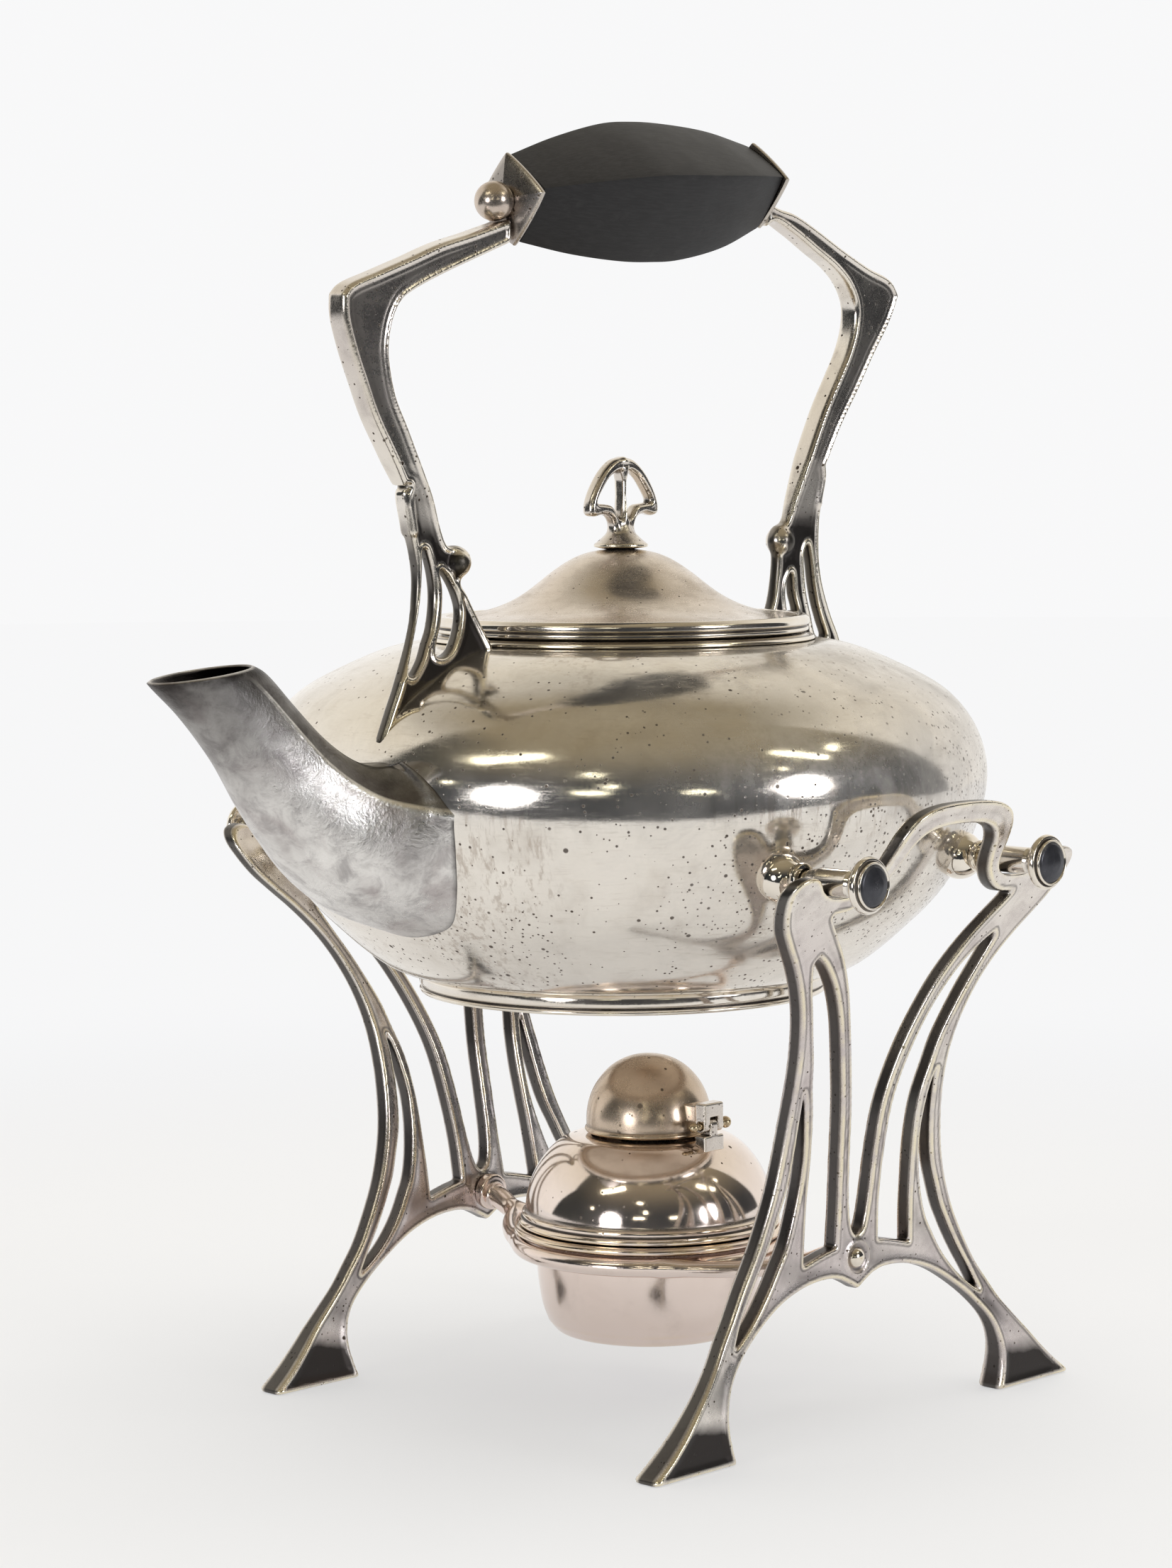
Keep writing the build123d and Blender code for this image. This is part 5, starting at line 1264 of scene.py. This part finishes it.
def whole_frame():
    """Mirror the field, not the mesh, so that no seam shows."""
    gx = np.arange(-172, 173) * fh
    dd = np.zeros((len(gx), len(fgz)))
    for j in range(len(fgz)):
        dd[:, j] = np.interp(np.abs(gx), fgx, fd[:, j])
    X, Y, Z = np.meshgrid(gx, fgy, fgz, indexing="ij")
    X, Y, Z = X.astype(np.float32), Y.astype(np.float32), Z.astype(np.float32)
    D = np.repeat(dd[:, None, :], len(fgy), 1).astype(np.float32)
    rb = np.hypot(X, Z - 43.5)
    inboss = np.clip((6.2 - rb) / 1.0, 0, 1)
    lines = 0.62 * bump((D - 0.80) / 0.72) + 0.34 * bump((D - 1.95) / 0.50)
    ring = 0.75 * bump((rb - 4.3) / 0.75) + 0.15
    H = 1.98 + lines * (1 - inboss) + ring * inboss - 0.25 * inboss * (rb < 3.6)
    f = round_and(np.abs(Y) - H, -D, 0.42)
    f = blur(f, 1)
    o0 = [gx[0], fgy[0], fgz[0]]
    hh = [fh, fgy[1] - fgy[0], fh]

    def marks(v, at):
        s = sample(D, np.array(o0), np.array(hh), v)
        flat = np.clip((np.abs(v[:, 1]) - 1.3) / 0.4, 0, 1)
        # painted dark reflection: the wall attribute marks the side walls, which are painted near-black
        wall = (1 - flat)
        at["wall"] = wall
        # painted dark reflection: the sunk field of the feet is darkened where it mirrors the dark room
        foot_ = np.clip((13 - v[:, 2]) / 5, 0, 1)
        leg_ = np.clip((60 - v[:, 2]) / 25, 0, 1) * (0.5 + 0.5 * np.sin(v[:, 2] * 0.37 + v[:, 0] * 0.21) * np.sin(v[:, 2] * 0.11))
        inner = flat * np.clip((s - 1.3) / 0.7, 0, 1)
        groove = flat * bump((s - 1.40) / 0.50)
        at["dark"] = np.clip(at["dark"] + inner * (0.62 * foot_ + 0.34 * leg_) + 0.45 * groove * (v[:, 2] < 138), 0, 1)
        # painted highlight: a light line along the raised rims of the flat faces
        at["edge"] = np.clip(at["edge"] + 0.75 * flat * np.clip(1 - np.abs(s - 0.65) / 0.55, 0, 1), 0, 1)
        return at

    return cast("fr", f, o0, hh, marks=marks, smooth=2, scale=0.9)


def flare(v, side):
    z = v[:, 2]
    x = v[:, 0] + 16.1 - 0.0803 * z
    t = np.interp(z, HALF_T[:, 0], HALF_T[:, 1]) / 2.5
    zz = np.clip(z, 0, 165)
    fl = np.interp(zz, FL_S[:, 0], FL_S[:, 1])
    return np.stack([x, side * (fl + v[:, 1] * t), np.maximum(z, 0.0)], 1)


FL_S = smooth_curve(FLARE, 2.0, 0.8)
v, q, at = whole_frame()
for name, side, node in (("frame_casting_right", -1, "stand_frame_right"), ("frame_casting_left", 1, "stand_frame_left")):
    w = flare(v, side)
    o = new_mesh(name, w, q if side > 0 else q[:, ::-1], attrs=at)
    fix_normals(o)
    put(o, "stand", "silver_satin", M_FRAME, node)


def rivets():
    fl = float(np.interp(43.5, FL_S[:, 0], FL_S[:, 1])) + 2.5
    x = 16.1 - 0.0803 * 43.5
    parts = []
    for s in (-1, 1):
        prof = [(0, fl - 7.4)] + [(2.5, fl - 7.4), (2.5, fl - 6.4), (1.5, fl - 6.4), (1.5, fl - 0.9)] + arc_pts(0, fl - 1.0, 2.75, 4, 90, 16)[:-1] + [(0, fl + 1.4)]
        prof = [(r, fl - 1.0 + (y - fl + 1.0) * 0.75) if y > fl - 0.95 else (r, y) for r, y in prof]
        a = along_y("r", prof, x, s, 0.4, 64)
        vv = a[0].copy()
        vv[:, 2] += 43.5 - PIN_Z
        parts.append((vv, a[1], a[2], a[3], a[4]))
    v, q, t, at = join(parts)
    o = new_mesh("boss_rivets", v, q, t, at, 40)
    fix_normals(o)
    put(o, "stand", "silver_plate", M_BRIGHT, "frame_rivets")


rivets()

# ------------------------------------------------------------- burner ring
BX = 9.5


def burner_ring_whole():
    h = 0.44
    gx, gy, gz = np.arange(BX - 39, BX + 39, h), np.arange(-64.68, 64.69, h), np.arange(33.5, 50.4, h)
    X, Y, Z = [a.astype(np.float32) for a in np.meshgrid(gx, gy, gz, indexing="ij")]
    Y = np.abs(Y)
    f = np.hypot(np.hypot(X - BX, Y) - 33.9, Z - 38.7) - 2.45
    bxz = 16.1 - 0.0803 * 43.5

    def tube(pts, r0, r1):
        out = np.full(X.shape, 9.0, np.float32)
        p = catmull(pts, 3)
        n = len(p) - 1
        for i in range(n):
            a, b = p[i], p[i + 1]
            ab = b - a
            t = np.clip(((X - a[0]) * ab[0] + (Y - a[1]) * ab[1] + (Z - a[2]) * ab[2]) / (ab @ ab), 0, 1)
            r = r0 + (r1 - r0) * (i + t) / n
            out = np.minimum(out, np.sqrt((X - a[0] - t * ab[0]) ** 2 + (Y - a[1] - t * ab[1]) ** 2 + (Z - a[2] - t * ab[2]) ** 2) - r)
        return out

    f = soft_or(f, tube([(bxz, 62.4, 43.2), (bxz - 0.2, 58.5, 42.2), (bxz - 0.8, 54.0, 40.4), (bxz - 1.6, 50.0, 39.3)], 3.3, 2.5), 1.5)
    f = soft_or(f, tube([(bxz - 1.4, 51.0, 39.5), (BX - 4.5, 46.5, 38.9), (BX - 12.0, 39.5, 38.7), (BX - 19.0, 31.5, 38.7), (BX - 23.0, 25.5, 38.7)], 2.3, 2.1), 1.6)
    f = soft_or(f, tube([(bxz - 1.4, 51.0, 39.5), (BX + 7.5, 46.5, 38.9), (BX + 13.5, 39.5, 38.7), (BX + 19.5, 31.5, 38.7), (BX + 23.2, 25.5, 38.7)], 2.3, 2.1), 1.6)
    disc = np.maximum(np.hypot(X - bxz, Z - 43.5) - 4.9, np.abs(Y - 62.0) - 1.5)
    f = soft_or(f, disc, 0.8)
    f = blur(f, 1)
    # nothing comes inside the bowl's way
    f = np.maximum(f, 31.0 - np.hypot(X - BX, Y))
    return cast("br", f, [gx[0], gy[0], gz[0]], h, smooth=2)


v, q, at = burner_ring_whole()
o = new_mesh("burner_ring_casting", v, q, attrs=at)
fix_normals(o)
put(o, "stand", "silver_satin", M_BOWL, "burner_ring")

# ------------------------------------------------------------------ burner
bowl_side = smooth_curve([(26.6, 18.8), (28.0, 22.5), (28.9, 27.5), (29.5, 33.0), (29.7, 38.0), (29.75, 40.2)], 1.2, 0.5)
bowl = np.concatenate([[[0, 15.8]], fillets([(0, 15.8), (24.2, 15.8, 3.2), (26.6, 18.8)], closed=False, seg=10)[1:-1], bowl_side,
                       fillets([(29.75, 40.2), (30.2, 41.5, 0.5), (34.4, 41.6, 0.5), (35.35, 42.2, 0.7), (35.3, 43.2, 0.7), (34.2, 43.8, 0.4), (33.0, 43.6, 0.3), (28.6, 43.7, 0.2), (28.5, 38.0)], closed=False)[1:],
                       [[28.4, 33.0], [27.8, 27.5], [26.9, 22.9], [25.2, 19.0], [23.0, 17.2], [20.5, 16.9], [0, 16.9]]])
o = turned("bowl_skin", bowl, 256, at=(BX, 0, 0), step=0.6)
put(o, "burner", "silver_satin", M_BOWL, "burner_bowl")
dome_side = smooth_curve([(32.45, 48.2), (32.2, 50.8), (31.0, 55.4), (28.4, 60.3), (25.0, 64.3), (21.6, 66.7), (18.4, 67.45), (14.0, 67.75), (8.3, 67.9)], 1.4, 0.5)
dome_in = inset(dome_side, 1.15)
dome = np.concatenate([
    fillets([(28.0, 40.6), (28.35, 43.9, 0.2), (33.2, 44.05, 0.3), (34.1, 44.2, 0.5), (34.3, 45.1, 0.6), (33.7, 45.8, 0.5), (33.1, 46.0, 0.25), (33.35, 46.6, 0.35), (33.3, 47.3, 0.4),
             (32.7, 47.75, 0.25), (32.45, 48.2)], closed=False)[:-1],
    dome_side, [[7.15, 67.9], [7.15, 66.8]], dome_in[::-1], [[31.3, 46.6], [27.6, 45.2], [27.2, 40.6]]])
put(turned("dome_skin", dome, 256, at=(BX, 0, 0), step=0.6), "burner", "silver_plate", M_BURN, "burner_dome")

cap_side = [(16.3, 70.6), (16.3, 72.6), (15.7, 76.2), (14.4, 79.6), (12.4, 82.6), (9.8, 85.2), (6.8, 87.0), (3.4, 88.1), (0.0, 88.4)]
cap_c = smooth_curve(cap_side, 0.8, 0.4)
cap = np.concatenate([fillets([(15.2, 68.3, 0.2), (16.3, 68.25, 0.4), (16.85, 68.9, 0.45), (16.55, 69.5, 0.3), (16.3, 69.9, 0.2), (16.3, 70.6)], closed=False), cap_c[1:],
                      inset(cap_c, 1.1)[::-1], [[15.2, 70.2]]])
cap[cap[:, 0] < 0.02, 0] = 0.0
put(turned("cap_skin", cap, 224, at=(BX, 0, 0), step=0.5), "snuffer", "silver_plate", M_CAP, "snuffer_cap")

HY, HZ = -21.3, 72.0


def rbox(X, Y, Z, c, half, r):
    qx, qy, qz = np.abs(X - c[0]) - half[0] + r, np.abs(Y - c[1]) - half[1] + r, np.abs(Z - c[2]) - half[2] + r
    return np.sqrt(np.maximum(qx, 0) ** 2 + np.maximum(qy, 0) ** 2 + np.maximum(qz, 0) ** 2) + np.minimum(np.maximum(qx, np.maximum(qy, qz)), 0) - r


def hinge():
    h = 0.18
    gx, gy, gz = np.arange(BX - 4.7, BX + 4.71, h), np.arange(HY - 2.9, HY + 8.2, h), np.arange(HZ - 11.0, HZ + 7.2, h)
    X, Y, Z = np.meshgrid(gx, gy, gz, indexing="ij")
    R = np.hypot(X - BX, Y)
    dr = np.interp(Z, [40, 46.6, 50.8, 55.4, 60.3, 64.3, 66.7, 67.45, 67.9, 68.4], [33, 32.6, 32.2, 31.0, 28.4, 25.0, 21.6, 18.4, 8.3, 0])
    bore = np.hypot(Y - HY, Z - HZ)
    foot_ = rbox(X, Y, Z, (BX, HY, HZ - 8.5), (3.7, 1.9, 6.0), 0.4)
    lug = np.maximum(bore - 1.85, np.abs(X - BX) - 1.35)
    lug = np.minimum(lug, rbox(X, Y, Z, (BX, HY, HZ - 2.0), (1.35, 1.85, 2.0), 0.1))
    ears = soft_or(foot_, lug, 0.15)
    ears = np.maximum(ears, -((R - dr) * 0.6 + 0.35))
    ears = np.maximum(ears, -(bore - 1.08))
    a = cast("hb", blur(ears, 1), [gx[0], gy[0], gz[0]], h, smooth=2, scale=0.5)
    # the leaf stands on the cap: a square plate with an eye either side of the lug
    Rc = np.interp(Z, [60, 68.9, 70.0, 72.6, 76.2, 79.6, 82.6, 88], [16.95, 16.95, 16.3, 16.3, 15.7, 14.4, 12.4, 0])
    leaf = soft_or(rbox(X, Y, Z, (BX, HY, HZ + 3.0), (3.65, 1.85, 2.95), 0.45), np.maximum(bore - 1.85, np.abs(X - BX) - 3.65), 0.15)
    leaf = soft_or(leaf, rbox(X, Y, Z, (BX, HY + 3.2, HZ + 2.9), (2.95, 3.2, 2.25), 0.3), 0.2)
    leaf = np.maximum(leaf, -rbox(X, Y, Z, (BX, HY, HZ - 0.3), (1.55, 9.0, 2.6), 0.1))
    leaf = np.maximum(leaf, -((R - Rc) * 0.9 + 0.25))
    leaf = np.maximum(leaf, -(bore - 1.08))
    b = cast("hl", blur(leaf, 1), [gx[0], gy[0], gz[0]], h, smooth=2, scale=0.5)
    return a, b


(v, q, at), (v2, q2, at2) = hinge()
o = new_mesh("hinge_ears", v, q, attrs=at)
fix_normals(o)
put(o, "burner", "silver_satin", M_CAST, "snuffer_hinge_block")
o = new_mesh("hinge_leaf", v2, q2, attrs=at2)
fix_normals(o)
put(o, "snuffer", "silver_satin", M_CAST, "snuffer_hinge_leaf")

prof = [(0, -7.2)] + arc_pts(0, -5.9, 1.3, -88, 38, 14) + [(0.98, -4.9), (0.98, 4.9)] + arc_pts(0, 6.2, 1.55, -50, 88, 16) + [(0, 7.76)]
a = along_y("pin", prof, 0.0, 1, 0.35, 48)
vv = np.stack([BX + a[0][:, 1], HY + a[0][:, 0], HZ + a[0][:, 2] - PIN_Z], 1)
o = new_mesh("hinge_pin_turned", vv, a[1], a[2], {"dark": a[3], "edge": a[4]}, 40)
fix_normals(o)
put(o, "burner", "brass_worn", M_DULL, "snuffer_hinge_pin")

# ------------------------------------------------------------------- stage
AZ, PITCH, ROLL = math.radians(-46.07), math.radians(4.99), math.radians(-0.34)
toward = np.array([sin(AZ), -cos(AZ), 0.0])
rightv = np.array([cos(AZ), sin(AZ), 0.0])


def stage_material():
    m, N, b, P = plain_principled("paper_stage")
    n = N.noise(P, 7.0, 3.0, 0.5)
    N.give(b.inputs["Base Color"], N.mix(n, (0.86, 0.86, 0.865), (0.89, 0.89, 0.89)))
    b.inputs["Roughness"].default_value = 0.75
    b.inputs["Specular IOR Level"].default_value = 0.2
    # the paper runs up into the backdrop, evenly lit, so it fades to the same white
    d = N.vmath("LENGTH", P)
    e = N.new("ShaderNodeEmission")
    N.give(e.inputs["Color"], N.mix(N.step(d, 0.22, 0.80), (0.83, 0.835, 0.85), (0.93, 0.93, 0.935)))
    ms = N.new("ShaderNodeMixShader")
    N.give(ms.inputs[0], N.math("ADD", 0.60, N.math("MULTIPLY", N.step(d, 0.26, 0.70), 0.40)))
    N.link(b.outputs[0], ms.inputs[1])
    N.link(e.outputs[0], ms.inputs[2])
    out = [k for k in m.node_tree.nodes if k.type == "OUTPUT_MATERIAL"][0]
    N.link(ms.outputs[0], out.inputs[0])
    return m


M_STAGE = stage_material()


def flat(name, pts, z):
    me = bpy.data.meshes.new(name)
    me.from_pydata([(p[0], p[1], z) for p in pts], [], [tuple(range(len(pts)))])
    me.update()
    o = bpy.data.objects.new(name, me)
    bpy.context.scene.collection.objects.link(o)
    me.materials.append(M_STAGE)
    return o


c0 = np.array([SX * MM, 0, 0])
near = flat("paper_near", [c0 + toward * a + rightv * b for a, b in ((0.50, -1.2), (0.50, 1.2), (-1.5, 1.2), (-1.5, -1.2))], 0.0)
far = flat("paper_far", [(4.5 * cos(2 * pi * k / 96), 4.5 * sin(2 * pi * k / 96)) for k in range(96)], -0.0004)
far.visible_glossy = False

# ------------------------------------------------------------------- world
w = bpy.data.worlds.new("studio")
bpy.context.scene.world = w
w.use_nodes = True
N = Nodes(w.node_tree)
wo = N.new("ShaderNodeOutputWorld")
G = N.new("ShaderNodeTexCoord").outputs["Generated"]
cf = N.vmath("DOT_PRODUCT", G, tuple(toward))
cr = N.vmath("DOT_PRODUCT", G, tuple(rightv))
s = N.sep(G)
RAD = 180 / pi
az = N.math("MULTIPLY", N.math("ARCTAN2", cr, cf), RAD)
el = N.math("MULTIPLY", N.math("ARCSINE", s[2]), RAD)


def lamp(a0, e0, hw, hh, turn=0.0, soft=0.8):
    """Rectangle on the sky, in degrees, with soft edges."""
    k = cos(math.radians(e0))
    u = N.math("MULTIPLY", N.math("SUBTRACT", az, a0), k)
    v_ = N.math("SUBTRACT", el, e0)
    c_, s_ = cos(math.radians(turn)), sin(math.radians(turn))
    U = N.math("ADD", N.math("MULTIPLY", u, c_), N.math("MULTIPLY", v_, s_))
    V = N.math("SUBTRACT", N.math("MULTIPLY", v_, c_), N.math("MULTIPLY", u, s_))
    a = N.math("SUBTRACT", 1.0, N.step(N.math("ABSOLUTE", U), hw - soft, hw + soft))
    b = N.math("SUBTRACT", 1.0, N.step(N.math("ABSOLUTE", V), hh - soft, hh + soft))
    return N.math("MULTIPLY", a, b)


def glow(a0, e0, r0, r1):
    k = cos(math.radians(e0))
    u = N.math("MULTIPLY", N.math("SUBTRACT", az, a0), k)
    v_ = N.math("SUBTRACT", el, e0)
    d = N.math("SQRT", N.math("ADD", N.math("MULTIPLY", u, u), N.math("MULTIPLY", v_, v_)))
    return N.math("SUBTRACT", 1.0, N.step(d, r0, r1))


# the room is dark at eye height and a warm grey overhead
room = N.mix(N.step(el, 8.0, 62.0), (0.036, 0.039, 0.044), (0.335, 0.285, 0.195))
room = N.mix(N.step(el, 62.0, 88.0), room, (0.38, 0.33, 0.235))
room = N.mix(N.step(el, -60.0, -12.0), (0.08, 0.075, 0.07), room)
left_side = N.math("MULTIPLY", N.step(N.math("MULTIPLY", az, -1.0), 40.0, 80.0), N.math("SUBTRACT", 1.0, N.step(el, 50.0, 62.0)))
room = N.mix(N.math("MULTIPLY", left_side, 0.8), room, (0.022, 0.026, 0.026))
# white paper behind the object
el_r = N.math("MAXIMUM", N.math("MINIMUM", el, 60.0), -12.0)
edge_r = N.math("SUBTRACT", 119.0, N.math("MULTIPLY", el_r, 0.48))
right_paper = N.step(N.math("SUBTRACT", az, edge_r), -1.5, 1.5)
edge_l = N.math("ADD", 84.0, N.math("MULTIPLY", N.math("MAXIMUM", N.math("SUBTRACT", 28.0, el_r), 0.0), 0.62))
left_paper = N.step(N.math("SUBTRACT", N.math("MULTIPLY", az, -1.0), edge_l), -1.5, 1.5)
paper = N.math("MAXIMUM", right_paper, left_paper)
paper = N.math("MULTIPLY", paper, N.math("SUBTRACT", 1.0, N.step(el, 40.0, 70.0)))
sky = N.mix(paper, room, N.mix(N.step(el, 6.0, 46.0), (1.03, 1.015, 0.99), (0.92, 0.87, 0.77)))
lamps = None
for a in (lamp(-42.0, 40.5, 10.5, 2.6, 30.0, 0.8), lamp(65.5, 36.5, 8.5, 1.9, -38.0, 0.8), lamp(81.5, 37.5, 2.6, 1.5, 40.0, 1.0), lamp(53.5, 26.0, 1.2, 1.6, 0.0, 0.8),
          lamp(-10.0, 27.0, 2.4, 1.6, -20.0, 0.9), lamp(-4.2, 14.8, 1.6, 1.9, 0.0, 0.7), lamp(-10.3, 7.8, 5.0, 1.2, 0.0, 0.6), lamp(23.0, 7.8, 4.6, 1.2, 0.0, 0.6),
          lamp(-56.5, 14.0, 1.3, 1.3, 0.0, 0.8)):
    lamps = a if lamps is None else N.math("MAXIMUM", lamps, a)
boxes = N.math("MAXIMUM", glow(-37.0, 3.0, 6.0, 11.5), glow(57.0, 8.0, 6.0, 11.5))
sky = N.mix(1.0, sky, N.mix(lamps, (0, 0, 0), (5.2, 5.0, 3.9)), "ADD")
sky = N.mix(1.0, sky, N.mix(boxes, (0, 0, 0), (9.0, 9.0, 9.3)), "ADD")
bg = N.new("ShaderNodeBackground")
N.give(bg.inputs["Color"], sky)
bg.inputs["Strength"].default_value = 1.0
cam_bg = N.new("ShaderNodeBackground")
cam_bg.inputs["Color"].default_value = (0.94, 0.94, 0.945, 1)
cam_bg.inputs["Strength"].default_value = 1.0
lp = N.new("ShaderNodeLightPath")
mx = N.new("ShaderNodeMixShader")
N.link(lp.outputs["Is Camera Ray"], mx.inputs[0])
N.link(bg.outputs[0], mx.inputs[1])
N.link(cam_bg.outputs[0], mx.inputs[2])
N.link(mx.outputs[0], wo.inputs[0])


def area(name, pos, target, size, power, color=(1, 1, 1), glossy=False):
    L = bpy.data.lights.new(name, "AREA")
    L.shape = "SQUARE"
    L.size = size
    L.energy = power
    L.color = color
    o = bpy.data.objects.new(name, L)
    bpy.context.scene.collection.objects.link(o)
    o.location = pos
    d = Vector(target) - Vector(pos)
    o.rotation_mode = "QUATERNION"
    o.rotation_quaternion = d.to_track_quat("-Z", "Y")
    o.visible_glossy = glossy
    return o


area("top_soft", (0.1, -0.2, 2.4), (0, 0, 0.1), 2.4, 46.0)

# ------------------------------------------------------------------ camera
back = Vector((sin(AZ) * cos(PITCH), -cos(AZ) * cos(PITCH), sin(PITCH)))
rg = Vector((cos(AZ), sin(AZ), 0))
up = back.cross(rg)
R2 = cos(ROLL) * rg + sin(ROLL) * up
U2 = -sin(ROLL) * rg + cos(ROLL) * up
target = rg * (-9.31) + Vector((0, 0, 159.75))
pos = (target + back * 1020.86) * MM + Vector((SX * MM, 0, 0))
cam = bpy.data.cameras.new("camera")
cam.sensor_width = 36.0
cam.sensor_fit = "AUTO"
cam.lens = 36.0 * 5582.6 / 2212.0
cam.clip_start, cam.clip_end = 0.05, 60.0
co = bpy.data.objects.new("camera", cam)
bpy.context.scene.collection.objects.link(co)
from mathutils import Matrix
co.matrix_world = Matrix(((R2.x, U2.x, back.x, pos.x), (R2.y, U2.y, back.y, pos.y), (R2.z, U2.z, back.z, pos.z), (0, 0, 0, 1)))
bpy.context.scene.camera = co
bpy.context.scene.view_settings.view_transform = "Standard"
